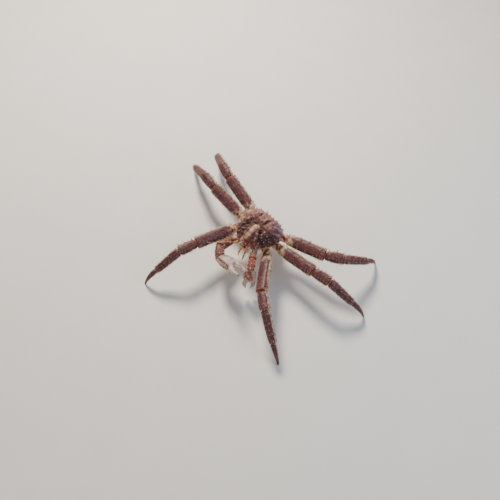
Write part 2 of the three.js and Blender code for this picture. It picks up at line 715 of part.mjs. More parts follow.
function buildHead(side, sideName) {
  const gaze = direction(side, EYE.heading, EYE.pitch);
  const eye = EYE.sections.map(([t, radius]) => ({
    at: headRoot(EYE, side).addScaledVector(gaze, EYE.length * t),
    across: radius,
    above: radius,
    below: radius,
  }));
  addHeadPiece(`eye_${sideName}`, eye, { sides: 8, squareness: 1 }, finishes.eye());

  const peduncle = curvedStations(headRoot(ANTENNA, side), side, ANTENNA.peduncle, 3,
    [ANTENNA.heading, ANTENNA.heading], [ANTENNA.pitch, ANTENNA.pitch],
    (t) => mix(ANTENNA.width, ANTENNA.wrist, t));
  const feelerRoot = peduncle[peduncle.length - 1].at.clone()
    .addScaledVector(direction(side, ANTENNA.heading, ANTENNA.pitch), 3);
  const feeler = curvedStations(feelerRoot, side, ANTENNA.feeler, 12,
    [ANTENNA.heading, ANTENNA.heading + ANTENNA.spread], [ANTENNA.rise, ANTENNA.droop],
    (t) => mix(ANTENNA.feelerRadius, ANTENNA.tipRadius, t));
  const antenna = [...peduncle, ...feeler];
  addHeadPiece(`antenna_${sideName}`, antenna, { sides: 6, squareness: 1 }, finishes.feeler());

  const antennule = curvedStations(headRoot(ANTENNULE, side), side, ANTENNULE.length, 5,
    [ANTENNULE.heading, ANTENNULE.heading + ANTENNULE.spread],
    [ANTENNULE.pitch, ANTENNULE.pitch + ANTENNULE.droop],
    (t) => mix(ANTENNULE.radius, ANTENNULE.tipRadius, t));
  addHeadPiece(`antennule_${sideName}`, antennule, { sides: 6, squareness: 1 }, finishes.feeler());

  const maxilliped = curvedStations(headRoot(MAXILLIPED, side), side, MAXILLIPED.length, 7,
    [MAXILLIPED.heading, MAXILLIPED.heading], [MAXILLIPED.pitch, MAXILLIPED.pitch + MAXILLIPED.droop],
    maxillipedRadius);
  addHeadPiece(`maxilliped_${sideName}`, maxilliped, { sides: 8, squareness: 0.9 }, finishes.feeler());
}

function abdomenStations() {
  return ABDOMEN.map(({ back, depth, wide, thick }) => ({
    at: vec(0, back, MARGIN_HEIGHT - depth), across: wide, above: thick, below: thick,
  }));
}

function abdomenSolid(grow) {
  const across = vec(1, 0, 0);
  const options = { across, sides: ABDOMEN_SIDES, squareness: ABDOMEN_SQUARENESS, grow };
  return limb(backedUp(abdomenStations(), grow), options);
}

function thoraxBody() {
  const top = MARGIN_HEIGHT - RIM_DEPTH - GAP;
  const rings = [outlineRing(THORAX_TOP_SHARE, top, THORAX_SIDES)];
  THORAX_LEVELS.forEach(({ depth, share }) => {
    rings.push(outlineRing(share, MARGIN_HEIGHT - depth, THORAX_SIDES));
  });
  return loft(rings);
}

addMesh('carapace', fuse(carapaceBody(), [rostrumSolid(), ...carapaceSpines()]), finishes.carapace());
LEGS.forEach(buildLeg);
CLAWS.forEach(buildClaw);
buildHead(1, 'left');
buildHead(-1, 'right');
roomForLimbs.push(abdomenSolid(GAP));
addMesh('abdomen', abdomenSolid(0), finishes.pale());
const thorax = roomForLimbs.reduce((body, room) => body.subtract(room), thoraxBody());
addMesh('thorax', largest(thorax), finishes.pale());

// The origin is under the middle of the bounding box, on the floor.
const box = new THREE.Box3().setFromObject(crab);
const middle = box.getCenter(new THREE.Vector3());
crab.position.set(-middle.x, -middle.y, 0);

export default crab;
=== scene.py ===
"""Red king crab, life size: shells, spines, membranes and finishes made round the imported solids.

Sizes are in millimetres. The crab faces -Y, its left side is +X and its feet rest on Z = 0. Places are
given from the middle of the carapace, as in the solids, and are moved into the frame when a mesh is made.
"""
import math

import bpy
import numpy as np
from bpy.props import FloatProperty, FloatVectorProperty, IntProperty, PointerProperty
from mathutils import Matrix, Vector, kdtree, noise


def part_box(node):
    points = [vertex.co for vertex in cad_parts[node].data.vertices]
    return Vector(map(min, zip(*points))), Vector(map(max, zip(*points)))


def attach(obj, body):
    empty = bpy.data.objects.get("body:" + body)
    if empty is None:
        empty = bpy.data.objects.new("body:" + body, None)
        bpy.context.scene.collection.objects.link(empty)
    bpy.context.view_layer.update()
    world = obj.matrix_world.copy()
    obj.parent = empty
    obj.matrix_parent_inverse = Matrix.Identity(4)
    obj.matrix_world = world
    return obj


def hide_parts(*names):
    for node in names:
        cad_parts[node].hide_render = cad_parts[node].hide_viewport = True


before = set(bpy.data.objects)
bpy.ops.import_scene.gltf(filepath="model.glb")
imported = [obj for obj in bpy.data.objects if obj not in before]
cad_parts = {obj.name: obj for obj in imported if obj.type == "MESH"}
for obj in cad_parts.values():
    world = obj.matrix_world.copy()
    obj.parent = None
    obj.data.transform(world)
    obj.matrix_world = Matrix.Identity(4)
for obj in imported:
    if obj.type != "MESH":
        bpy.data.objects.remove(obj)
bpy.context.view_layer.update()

bl_info = {
    "name": "Red king crab",
    "version": (1, 0, 0),
    "blender": (4, 5, 0),
    "location": "3D View > Sidebar > Crab",
    "description": "Makes a life-size red king crab, standing, around its packed solids",
    "category": "Object",
}

MM = 0.001
# Greatest number of thorns on a square metre before their spacing thins them out.
MOST_THORNS = 4e6
# Least and greatest size of a strewn thorn over the middling one.
THORN_VARIATION = (0.55, 1.5)
UP = np.array([0.0, 0.0, 1.0])

# Carapace: cosine terms of the outline, notch at the eyes, dome above the margin and rim below it.
MARGIN = 138.0
OUTLINE_TERMS = (81.0, -2.4, -4.0, 7.0)
ORBIT = {"angle": 14.0, "spread": 5.0, "depth": 5.0}
DOME = {"height": 48.0, "fullness": 2.6, "shoulder": 0.8}
# Points round the carapace and from its top to its margin.
CARAPACE_GRID = (200, 76)
RIM_DEPTH = 6.0
# Swellings and hollows on each half: across, back, half width, half length, height.
REGIONS = (
    (0, -36, 18, 26, 13), (0, 17, 13, 13, 8), (42, 22, 20, 28, 8), (27, -14, 9, 17, -8),
    (0, -3, 16, 6, -6), (20, 28, 6, 18, -5), (0, 48, 12, 9, -5), (46, -30, 13, 13, 4),
)
# Grooves cut into the dome: width, depth and a line of (across, back).
GROOVES = (
    (3.2, 3.0, ((0, -6), (15, -7), (26, -16), (34, -30), (47, -43))),
    (3.0, 2.4, ((15, -7), (18, 10), (17, 30), (23, 52))),
    (3.0, 2.2, ((0, 34), (17, 30))),
    (2.8, 1.8, ((34, -30), (52, -16), (70, -12))),
)
# The margin rolls under to the inset rim and closes below: share of the outline and drop.
ROLLED_MARGIN = (
    (0.997, -1.6), (0.985, -3.6), (0.965, -5.2), (0.94, -RIM_DEPTH), (0.86, -RIM_DEPTH - 0.1), (0.5, -5.0),
)
# Rows of spines on half of the carapace: share of the outline, first and last degree from the front,
# count, length, radius and lift.
CARAPACE_SPINES = (
    (0.97, 24, 173, 12, 13, 4.4, 0.4), (0.86, 32, 168, 10, 9, 3.8, 0.9), (0.7, 12, 165, 8, 10, 4, 1.4),
    (0.52, 9, 168, 6, 10.5, 4.2, 2), (0.31, 14, 150, 4, 10, 4, 3),
)
# Shorter spines between those rows, which the solids leave out. They stray further out of line.
CARAPACE_LESSER_SPINES = (
    (0.985, 30, 168, 13, 6.5, 2.9, -0.1), (0.92, 20, 172, 13, 6, 3, 0.6), (0.78, 24, 172, 12, 6.5, 3.2, 1.2),
    (0.61, 20, 170, 9, 6.5, 3.3, 1.8), (0.42, 12, 168, 7, 6.5, 3.3, 2.5), (0.2, 25, 155, 3, 7, 3.4, 4),
)
LESSER_STRAY = 2.4
# What sets their draws apart from those of the main spines.
LESSER_SALT = 3.0
# Patches of colour on the carapace, seen across its two diagonals: place towards the left rear and towards
# the right rear, then half sizes along them.
# Painted shade: dark patches on the front slopes that lie in shadow.
SHADE_PATCHES = ((-46, -2, 34, 21), (36, -60, 34, 22))
# Painted light: lighter patches on the upper rear of the dome.
LIT_PATCHES = ((-2, 62, 36, 24), (34, 30, 16, 16))
# Painted highlights: cream patches, mostly along the right margin.
HIGHLIGHT_PATCHES = ((-62, 42, 14, 20), (-80, 10, 9, 16), (-30, 70, 14, 8), (-60, -47, 10, 15))
# Lilac grey on the rear flank: partly the shell's own grey, partly a painted reflection of bluish sky light.
LILAC_SKY_SHEEN_PATCHES = ((82, 2, 27, 46), (30, 66, 16, 10))

ROSTRUM = {"length": 30.0, "radius": 8.0, "back": -68.0, "above": 13.0, "lift": 0.25}

# Thorax under the carapace: depth below the margin and share of the outline.
THORAX_LEVELS = ((6.3, 0.86), (16, 0.86), (28, 0.84), (42, 0.78), (56, 0.6), (66, 0.4))
THORAX_GRID = (160, 44)
# Degrees from the front of the seams between the plates that carry the limbs.
THORAX_SEAMS = (54, 88, 119, 150)
# Radius of the collar round the root of a leg and of a claw.
LEG_COLLAR = 16.0
CLAW_COLLAR = 14.5

# Spines of the limbs: lean towards the tip and radius over length, of main, lesser and dactylus rows.
SPINE_SHAPE = (0.35, 0.36)
LESSER_SHAPE = (0.4, 0.38)
DACTYLUS_SHAPE = (0.8, 0.34)
# Share by which their lengths vary, and how deep their roots are sunk.
SPINE_VARIATION = 0.2
SPINE_SINK = 1.2
# Least distance of a lesser spine from the others.
SPINE_ROOM = 3.8
# Rows of spines of each article: turn, first and last share of its length, count and length.
SPINE_ROWS = {
    "base": ((80, 0.62, 0.84, 2, 6),),
    "merus": (
        (90, 0.12, 0.93, 8, 9), (48, 0.22, 0.9, 5, 7), (134, 0.18, 0.86, 5, 7), (-84, 0.2, 0.9, 6, 7),
        (6, 0.3, 0.84, 3, 5.5),
    ),
    "carpus": (
        (90, 0.2, 0.82, 3, 11), (42, 0.32, 0.8, 2, 8.5), (138, 0.3, 0.78, 2, 8.5), (-70, 0.4, 0.75, 2, 6),
    ),
    "propodus": (
        (90, 0.12, 0.86, 5, 8), (38, 0.2, 0.8, 4, 7), (142, 0.16, 0.76, 4, 7), (-40, 0.22, 0.78, 3, 6),
        (-125, 0.26, 0.8, 3, 6),
    ),
    "claw_merus": ((90, 0.3, 0.86, 3, 10), (45, 0.45, 0.85, 2, 8), (136, 0.4, 0.8, 2, 8)),
    "claw_carpus": (
        (92, 0.18, 0.82, 3, 11), (48, 0.25, 0.78, 3, 9), (138, 0.22, 0.78, 3, 9), (4, 0.35, 0.75, 2, 7),
    ),
    "palm": (
        (88, 0.15, 0.86, 4, 8), (50, 0.2, 0.84, 4, 7), (128, 0.18, 0.82, 4, 7), (10, 0.3, 0.8, 2, 6),
        (168, 0.3, 0.8, 2, 6),
    ),
}
# Shorter rows and rim teeth, which the solids leave out.
LESSER_ROWS = {
    "base": ((30, 0.6, 0.82, 2, 3.6), (125, 0.6, 0.82, 2, 3.6), (80, 0.2, 0.3, 2, 3.6)),
    "merus": (
        (90, 0.1, 0.95, 12, 6.0), (74, 0.12, 0.93, 9, 5.2), (106, 0.12, 0.93, 9, 5.2),
        (48, 0.12, 0.92, 10, 5.4), (134, 0.14, 0.92, 9, 4.6), (27, 0.14, 0.9, 9, 5.2),
        (155, 0.2, 0.88, 7, 3.8), (-84, 0.12, 0.94, 11, 5.6), (-62, 0.14, 0.9, 9, 4.8),
        (-108, 0.16, 0.9, 8, 4.4), (6, 0.12, 0.9, 8, 5.0), (-16, 0.16, 0.88, 8, 4.8),
        (-39, 0.18, 0.88, 8, 4.4), (-150, 0.25, 0.85, 5, 3.4),
    ),
    "carpus": (
        (90, 0.22, 0.8, 5, 6.0), (66, 0.2, 0.84, 5, 5.4), (114, 0.2, 0.84, 5, 5.2),
        (20, 0.24, 0.82, 5, 5.2), (160, 0.26, 0.8, 4, 4.2), (-10, 0.26, 0.8, 5, 4.8),
        (-45, 0.28, 0.8, 5, 4.6), (-84, 0.24, 0.82, 5, 5.2), (-110, 0.3, 0.8, 4, 4.2),
    ),
    "propodus": (
        (90, 0.12, 0.86, 9, 5.4), (64, 0.12, 0.86, 9, 4.8), (116, 0.12, 0.86, 9, 4.6),
        (14, 0.14, 0.84, 8, 4.8), (168, 0.16, 0.8, 7, 4.2), (-14, 0.16, 0.82, 8, 4.4),
        (-70, 0.16, 0.82, 8, 4.6), (-98, 0.18, 0.8, 7, 4.2),
    ),
    "claw_merus": (
        (90, 0.25, 0.88, 5, 5.4), (68, 0.22, 0.88, 5, 5), (112, 0.22, 0.88, 5, 5),
        (20, 0.3, 0.82, 4, 4.4), (160, 0.3, 0.82, 4, 4.4), (-60, 0.3, 0.8, 4, 3.6),
    ),
    "claw_carpus": (
        (92, 0.2, 0.84, 4, 5.6), (70, 0.2, 0.82, 5, 5.4), (115, 0.2, 0.82, 5, 5.4),
        (25, 0.25, 0.8, 4, 4.8), (160, 0.25, 0.8, 4, 4.8), (-40, 0.3, 0.8, 4, 4.0),
    ),
    "palm": (
        (88, 0.12, 0.88, 7, 5.6), (68, 0.12, 0.88, 7, 5.0), (108, 0.12, 0.88, 7, 5.0),
        (30, 0.2, 0.84, 5, 4.2), (150, 0.2, 0.84, 5, 4.0), (-10, 0.3, 0.8, 4, 3.4),
        (-60, 0.25, 0.9, 6, 4.0), (-120, 0.25, 0.9, 6, 4.0), (-90, 0.25, 0.9, 6, 4.4),
    ),
}
DACTYLUS_ROWS = tuple((turn, 0.24, 0.62, 4, 3.4) for turn in (90, 35, 145, -40, -140))
RIM_TEETH = {
    "turns": (-70, -40, -10, 18, 44, 68, 90, 112, 136, 162, 190, 220, 250),
    "share": 0.965, "length": 4.8, "lean": 0.9, "stoutness": 0.34, "variation": 0.3,
}

# Walking legs: lengths, depth of the roots, roll of the sections, headings and pitches in degrees.
LEG_LENGTHS = {"coxa": 17, "ischium": 22, "merus": 156, "carpus": 66, "propodus": 116, "dactylus": 92}
LEG_ROOT_DEPTH = 34.0
LEG_ROLL = -55.0
FOOT_RADIUS = 2.6
DACTYLUS_BOW = 7.0
LEG_PITCHES = {"coxa": 2, "ischium": 8, "carpus": 2, "propodus": -32, "dactylus": -52}
LEGS = (
    ("leg_right_1", -1, (51, -17), (60, 38, 15, 15, 18, 24), 1.0),
    ("leg_right_2", -1, (57, 15), (86, 88, 92, 98, 108, 118), 1.0),
    ("leg_right_3", -1, (50, 47), (112, 107, 101, 108, 120, 136), 1.01),
    ("leg_left_1", 1, (51, -17), (64, 50, 37, 54, 61, 66), 1.0),
    ("leg_left_2", 1, (57, 15), (86, 89, 92, 98, 104, 110), 1.0),
    ("leg_left_3", 1, (50, 47), (112, 107, 103, 120, 150, 164), 1.01),
)
# Half sizes along each article: place, across, above and below the middle line.
PROFILES = {
    "base": ((0, 12.5, 14.5, 14.5), (0.26, 13, 15.5, 15.5), (0.5, 11.5, 14, 14), (0.8, 12.5, 15.5, 15),
             (1, 11.5, 15, 14.5)),
    "merus": ((0, 11, 14, 14), (0.09, 14.5, 19.5, 18), (0.4, 17, 24, 21), (0.8, 17, 23, 20.5),
              (0.94, 17.5, 23, 20), (1, 15, 19, 17)),
    "carpus": ((0, 11, 13, 13), (0.2, 14.5, 19, 16), (0.55, 15.5, 21, 17.5), (0.86, 16, 20.5, 17.5),
               (1, 13.5, 16.5, 14.5)),
    "propodus": ((0, 10, 12, 12), (0.12, 13.5, 18, 15), (0.5, 13, 16.5, 14.5), (0.9, 12, 14, 12.5),
                 (1, 9.5, 11, 10.5)),
    "dactylus": ((0, 7, 8, 8), (0.1, 9, 10.5, 9.5), (0.5, 6.8, 8, 7.2), (0.85, 3.8, 4.3, 4),
                 (1, FOOT_RADIUS, FOOT_RADIUS, FOOT_RADIUS)),
    "claw_merus": ((0, 10.5, 13, 13), (0.28, 13, 17, 15), (0.72, 15.5, 20, 17), (1, 13, 16, 15)),
    "claw_carpus": ((0, 10.5, 12.5, 12.5), (0.34, 15, 18.5, 16), (0.64, 16, 19, 17), (1, 12.5, 14.5, 14)),
    "palm": ((0, 10.5, 12, 12), (0.3, 16, 22, 21), (0.7, 17.5, 25, 25), (1, 13.5, 20, 20.5)),
}

# Claws: headings and pitches of base, merus, carpus and palm, roll of the hand, gape of the fingers.
CLAW_LENGTHS = {"base": 34, "merus": 56, "carpus": 42, "palm": 58, "finger": 52}
CLAW_BASE_SHARE = 0.9
# Share of the base at which coxa and ischium meet.
CLAW_BEND = 0.45
CLAW_ROOT_DEPTH = 38.0
CLAW_ROOT = (33, -45)
CLAWS = (
    ("claw_right", -1, 1.08, (28, 8, -46, -96), (4, 14, 2, 12), 62, 24),
    ("claw_left", 1, 0.88, (30, 38, 36, 32), (4, 46, -14, -72), 80, 12),
)
FINGER = {"rootAbove": 9.8, "rootBelow": 10.4, "across": 10.0, "height": 9.0, "hook": 7.0, "sunk": 8.0}
FINGER_TAPER = ((0, 1), (0.3, 0.95), (0.6, 0.78), (0.85, 0.5), (1, 2.2 / 9.0))
# Knobs on the biting edge of a finger: first place, step, radius and how much smaller each next one is.
TEETH = {"count": 7, "first": 0.16, "step": 0.1, "radius": 2.9, "shrink": 0.26}
# Skin over a hand: size of its voxels, rounds of smoothing, and how many points a mark is blended from.
HAND_SKIN = {"voxel": 0.9, "rounds": 4, "nearest": 4, "blend": 0.3}

# Head: roots, sizes, headings and pitches of eyes, feelers and outer mouthparts.
EYE = {
    "root": (8, -60), "depth": 13, "length": 24, "stalk": 3, "flare": 1.5, "stalk_share": 0.74,
    "ball": 5, "ball_place": 0.8, "ball_share": 0.21, "heading": 10, "pitch": 8,
}
ANTENNA = {
    "root": (22, -58), "depth": 17, "peduncle": 34, "width": 4, "wrist": 2.6, "pitch": 18,
    "feeler": 122, "overlap": 1, "radius": 1.3, "tip": 0.4, "headings": (6, 54), "pitches": (58, -16),
}
ANTENNA_THORNS = {
    "count": 14, "first": 0.12, "step": 0.06, "length": 6.5, "variation": 1.8, "radius": 1.5, "lean": 0.9,
}
# Turn from each thorn to the next that keeps them out of line.
GOLDEN_ANGLE = 137.5
ANTENNULE = {
    "root": (5, -61), "depth": 23, "length": 36, "radius": 1.9, "tip": 0.5, "headings": (6, 18),
    "pitches": (-12, -32),
}
MAXILLIPED = {
    "root": (9, -55), "depth": 42, "length": 62, "radius": 6.5, "taper": 0.72, "swell": 0.1, "sides": 24,
    "headings": (4, 4), "pitches": (-14, -88),
}

# Abdomen, folded forwards under the thorax: place behind the middle, depth, half width and thickness.
ABDOMEN = (
    (55, 22, 26, 8), (69, 28, 30, 7.5), (77, 44, 31, 6.5), (70, 63, 30, 5.5),
    (50, 75, 26, 4.8), (20, 75, 20, 4.4), (-8, 73, 12, 3.4), (-20, 72.5, 6, 2.6),
)
ABDOMEN_PLATES = 7

# Camera of the photo: its turn and height round the crab, distance, focal length and place of the
# carapace in a picture of 500 by 500.
CAMERA = {"turn": 45.0, "height": 62.0, "distance": 1705.0, "focal": 480.0, "sensor": 36.0}
PICTURE = 500.0
CARAPACE_IN_PICTURE = (258.0, 226.0)
CARAPACE_MIDDLE = (0.0, 0.0, MARGIN + 30.0)
# Half width of the floor, in metres.
FLOOR = 6.0


# Sizes and colours


def linear(code):
    """Linear red, green and blue of an sRGB colour written in hex."""
    parts = [int(code[i:i + 2], 16) / 255 for i in (1, 3, 5)]
    return tuple(c / 12.92 if c <= 0.04045 else ((c + 0.055) / 1.055) ** 2.4 for c in parts)


def length(name, description, default_mm):
    return FloatProperty(name=name, description=description, default=default_mm * MM, min=0.0,
                         unit="LENGTH", subtype="DISTANCE", precision=5)


def colour(name, description, code):
    return FloatVectorProperty(name=name, description=description, default=linear(code),
                               size=3, min=0.0, max=1.0, subtype="COLOR")


class CrabSizes(bpy.types.PropertyGroup):
    """Sizes that only the render has."""
    granule_spacing: length("Granule spacing", "Least distance between two granules of the shell", 3.4)
    granule_height: length("Granule height", "Height of a middling granule", 0.9)
    granule_radius: length("Granule radius", "Radius of a middling granule at its root", 0.95)
    bristle_spacing: length("Bristle spacing", "Least distance between two bristles", 1.5)
    bristle_length: length("Bristle length", "Length of a bristle of the mouthparts and fingers", 4.2)
    bristle_radius: length("Bristle radius", "Radius of a bristle at its root", 0.16)
    seed: IntProperty(name="Seed", description="Start of every random draw", default=7, min=0)


class CrabColours(bpy.types.PropertyGroup):
    """Colours of the finishes."""
    shell: colour("Shell", "Main colour of the carapace", "#6f332f")
    # The dark shell colour is also painted shade in the grooves, hollows and shaded patches of the carapace.
    shell_dark: colour("Dark shell", "Patches and grooves of the carapace", "#2e0b0c")
    # The light shell colour is also painted light on the upper rear of the carapace and on its boss tops.
    shell_light: colour("Light shell", "Worn and raised parts of the carapace", "#c99583")
    # The ridge colour is a painted highlight along the middle ridge of the carapace.
    ridge: colour("Ridge", "Middle ridge of the carapace", "#e6bb97")
    # The edge colour is partly the cream of the limb edges and partly painted highlight; on the carapace
    # margin it is painted highlight.
    edge: colour("Edge", "Worn edges of the legs and of the margin", "#dcc4a2")
    # The lilac grey is partly the shell's own grey and partly a painted reflection of bluish sky light.
    cool: colour("Cool shell", "Lilac grey of the rear flank of the carapace", "#7a6c90")
    leg: colour("Leg", "Main colour of the legs", "#561f27")
    leg_dark: colour("Dark leg", "Dark patches of the legs", "#1d080d")
    leg_light: colour("Light leg", "Light patches of the legs", "#a4665f")
    claw: colour("Claw", "Main colour of the claws", "#6e2822")
    rust: colour("Rust", "Orange of limb roots, mouthparts and the left claw", "#a8401a")
    hand: colour("Hand", "Pale faces of the hands and the fingers", "#c9bab0")
    spine_tip: colour("Spine tip", "Ends of spines and granules", "#f0d6bd")
    shell_tip: colour("Shell spine tip", "Ends of the spines and granules of the carapace", "#dcb09e")
    underside: colour("Underside", "Lower faces of shell and limbs, and the fingers", "#e2c4a0")
    membrane: colour("Membrane", "Soft skin of the joints", "#c98d58")
    feeler: colour("Feeler", "Feelers and mouthparts", "#e6a566")
    bristle: colour("Bristle", "Roots of the bristles", "#a8652f")
    bristle_light: colour("Light bristle", "Paler bristles", "#e2ad70")
    horn: colour("Horn", "Ends of feet and fingers", "#1c1716")
    eye: colour("Eye", "Cornea", "#0d0b0c")
    floor: colour("Floor", "Floor under the crab", "#f0eee9")
    floor_shade: colour("Floor shade", "Darker drift of the floor paint", "#d8d5cf")


def sizes():
    return bpy.context.scene.crab_sizes


def colours():
    return bpy.context.scene.crab_colours


def rgba(value):
    return (*value, 1.0)


# Geometry


def unit(vectors):
    vectors = np.asarray(vectors, float)
    return vectors / np.maximum(np.linalg.norm(vectors, axis=-1, keepdims=True), 1e-12)


def dot(a, b):
    return np.sum(np.asarray(a) * np.asarray(b), axis=-1, keepdims=True)


def smoothstep(low, high, value):
    t = np.clip((value - low) / (high - low), 0, 1)
    return t * t * (3 - 2 * t)


def bell(value, width):
    return np.exp(-np.square(value / width))


def vary(index, salt):
    """A repeatable value from -1 to 1. The solids draw the same one for the same spine."""
    wave = math.sin(index * 12.9898 + salt * 78.233) * 43758.5453
    return 2 * (wave - math.floor(wave)) - 1


def ring_angles(sides):
    return np.linspace(0, 2 * math.pi, sides, endpoint=False)


def direction(side, heading, pitch):
    turn, lift = math.radians(heading), math.radians(pitch)
    return np.array([
        side * math.sin(turn) * math.cos(lift), -math.cos(turn) * math.cos(lift), math.sin(lift),
    ])


def smooth_through(places, values, at):
    """Values at places on smooth curves through given ones, which never overshoot them."""
    places, values = np.asarray(places, float), np.asarray(values, float)
    step = np.diff(places)[:, None]
    slope = np.diff(values, axis=0) / step
    tangent = np.zeros_like(values)
    product = slope[:-1] * slope[1:]
    total = slope[:-1] + slope[1:]
    tangent[1:-1] = np.where(product > 0, 2 * product / np.where(total == 0, 1, total), 0)
    tangent[0], tangent[-1] = slope[0], slope[-1]
    k = np.clip(np.searchsorted(places, at, side="right") - 1, 0, len(places) - 2)
    t = ((at - places[k]) / step[k, 0])[:, None]
    h = step[k]
    return (values[k] * (1 + 2 * t) * (1 - t) ** 2 + h * tangent[k] * t * (1 - t) ** 2
            + values[k + 1] * t * t * (3 - 2 * t) + h * tangent[k + 1] * t * t * (t - 1))


class Limb:
    """Surface of one article: an oval section that runs along a middle line."""

    def __init__(self, places, centres, profile, start=None, end=None, roll=0.0, squareness=0.86,
                 neck=0.14, rim=0.05, across=None):
        self.places = np.asarray(places, float)
        self.centres = np.asarray(centres, float)
        self.profile = np.asarray(profile, float)
        self.start, self.end = start, end
        self.roll = math.radians(roll)
        self.squareness = squareness
        self.neck, self.rim = neck, rim
        self.across = across
        self.length = float(np.sum(np.linalg.norm(np.diff(self.centres, axis=0), axis=1)))

    def middle(self, t):
        return smooth_through(self.places, self.centres, t)

    def axes(self, t):
        step = 1e-3
        along = unit(self.middle(np.clip(t + step, 0, 1)) - self.middle(np.clip(t - step, 0, 1)))
        if self.across is None:
            across = unit(np.cross(along, UP))
        else:
            across = np.broadcast_to(self.across, along.shape)
        above = np.cross(across, along)
        cosine, sine = math.cos(self.roll), math.sin(self.roll)
        rolled = [axis * cosine + np.cross(along, axis) * sine for axis in (across, above)]
        return along, *rolled

    def swell(self, t):
        """Narrow neck with a raised edge at the root, flared rim at the far end."""
        near, far = t * self.length, (1 - t) * self.length
        neck = 1 - self.neck * (1 - smoothstep(2.0, 5.5, near)) + 0.4 * self.neck * bell(near - 6.5, 1.6)
        rim = 1 + self.rim * bell(far - 2.6, 2.2) - self.rim * bell(far, 1.2)
        return neck * rim

    def point(self, t, angle):
        t, angle = np.broadcast_arrays(np.asarray(t, float), np.asarray(angle, float))
        along, across, above = self.axes(t)
        half = smooth_through(self.places, self.profile, t) * self.swell(t)[:, None]
        cosine, sine = np.cos(angle), np.sin(angle)
        height = np.where(sine > 0, half[:, 1], half[:, 2])
        x = half[:, 0] * np.sign(cosine) * np.abs(cosine) ** self.squareness
        y = height * np.sign(sine) * np.abs(sine) ** self.squareness
        offset = across * x[:, None] + above * y[:, None]
        first, last = self.places[1], self.places[-2]
        for normal, weight in ((self.start, 1 - t / first), (self.end, (t - last) / (1 - last))):
            if normal is not None:
                sheared = dot(offset, normal) / dot(along, normal)
                offset = offset - along * sheared * np.clip(weight, 0, 1)[:, None]
        return self.middle(t) + offset

    def grid(self, t, sides):
        """Place and angle of each point of the rings at some places, and the rings."""
        grid_t, grid_a = np.meshgrid(t, ring_angles(sides), indexing="ij")
        return grid_t, grid_a, self.point(grid_t.ravel(), grid_a.ravel()).reshape(len(t), sides, 3)

    def steps(self, coarse=3.0, fine=0.9, zone=9.0):
        """Places of the rings, which stand closer near both ends."""
        zone = min(zone, 0.35 * self.length)
        ends = np.arange(0, zone, fine)
        middle = np.linspace(zone, self.length - zone, max(int((self.length - 2 * zone) / coarse), 3))
        return np.concatenate([ends, middle, self.length - ends[::-1]]) / self.length

    def share_place(self, share):
        """Place along the limb where the solids count this share of their stations."""
        count = len(self.places) - 1
        return float(np.interp(share * count, np.arange(count + 1), self.places))


class Roots:
    """Where spines stand: place, direction, length, radius, how pale the shell is there and how much painted
    shade lies on it.
    """

    def __init__(self):
        self.rows = []

    def add(self, base, along, reach, radius, pale=0.0, deep=0.0):
        self.rows.append((np.asarray(base, float), unit(along), reach, radius, pale, deep))

    def bosses(self, points, share=0.13, spread=0.5):
        """Height of the swellings that carry the spines, at each of the points."""
        rise = np.zeros(points.shape[:-1])
        for base, _, reach, *_ in self.rows:
            away = np.linalg.norm(points - base, axis=-1)
            rise = np.maximum(rise, share * reach * bell(away, spread * reach))
        return rise


def spine_frame(limb, t, turn):
    """Place and outward direction on the side of a limb."""
    around = np.radians([turn, turn, turn, turn - 20, turn + 20, turn + 180])
    along_step = 0.02
    at = np.array([t, max(t - along_step, 0), min(t + along_step, 1), t, t, t])
    base, back, ahead, low, high, opposite = limb.point(at, around)
    along = unit(ahead - back)
    outward = unit(np.cross(along, high - low))
    if np.dot(outward, base - opposite) < 0:
        outward = -outward
    return base, along, outward


def add_spine_row(roots, limb, side, row, salt, shape=SPINE_SHAPE):
    turn, first, last, count, reach = row
    lean, stoutness = shape
    for i in range(count):
        spread = i / (count - 1) if count > 1 else 0.5
        share = first + (last - first) * spread + 0.015 * vary(i, salt + turn)
        at = turn + 5 * vary(i + 31, salt + turn)
        around = at if side > 0 else 180 - at
        base, along, outward = spine_frame(limb, limb.share_place(share), around)
        size = reach * (1 + SPINE_VARIATION * vary(i + 57, salt + turn))
        roots.add(base, outward + lean * along, size, stoutness * reach, float(turn < -30))


def add_rim_teeth(roots, limb, salt):
    reach = RIM_TEETH["length"]
    for i, turn in enumerate(RIM_TEETH["turns"]):
        base, along, outward = spine_frame(limb, RIM_TEETH["share"], turn + 4 * vary(i, salt))
        size = reach * (1 + RIM_TEETH["variation"] * vary(i + 5, salt))
        roots.add(base, outward + RIM_TEETH["lean"] * along, size, RIM_TEETH["stoutness"] * reach)


def clear_of(rows, others):
    """The small spines that stand clear of the larger ones and of each other."""
    kept = []
    for row in rows:
        if all(np.linalg.norm(row[0] - other[0]) > SPINE_ROOM for other in others + kept):
            kept.append(row)
    return kept


def article_spines(limb, part, side, salt):
    """Roots of all spines of an article."""
    roots, small = Roots(), Roots()
    for row in SPINE_ROWS[part]:
        add_spine_row(roots, limb, side, row, salt)
    for k, row in enumerate(LESSER_ROWS[part]):
        add_spine_row(small, limb, side, row, salt + 200 + k, LESSER_SHAPE)
    if part not in ("base", "palm"):
        add_rim_teeth(small, limb, salt + 300)
    roots.rows += clear_of(small.rows, roots.rows)
    return roots


def grid_normals(points, middles):
    """Outward directions of a grid of rings around their middles."""
    along = np.gradient(points, axis=0)
    wrapped = np.concatenate([points[:, -1:], points, points[:, :1]], axis=1)
    around = wrapped[:, 2:] - wrapped[:, :-2]
    normals = unit(np.cross(along, around))
    outward = np.sum(normals * (points - middles[:, None]), axis=-1, keepdims=True)
    return np.where(outward < 0, -normals, normals)


def lumps(points, size, salt):
    """Repeatable soft unevenness from -1 to 1 at each of the points, with lumps of one size in mm."""
    flat = points.reshape(-1, 3) / size + salt * 7.31
    return np.array([noise.noise(Vector(p)) for p in flat]).reshape(points.shape[:-1])


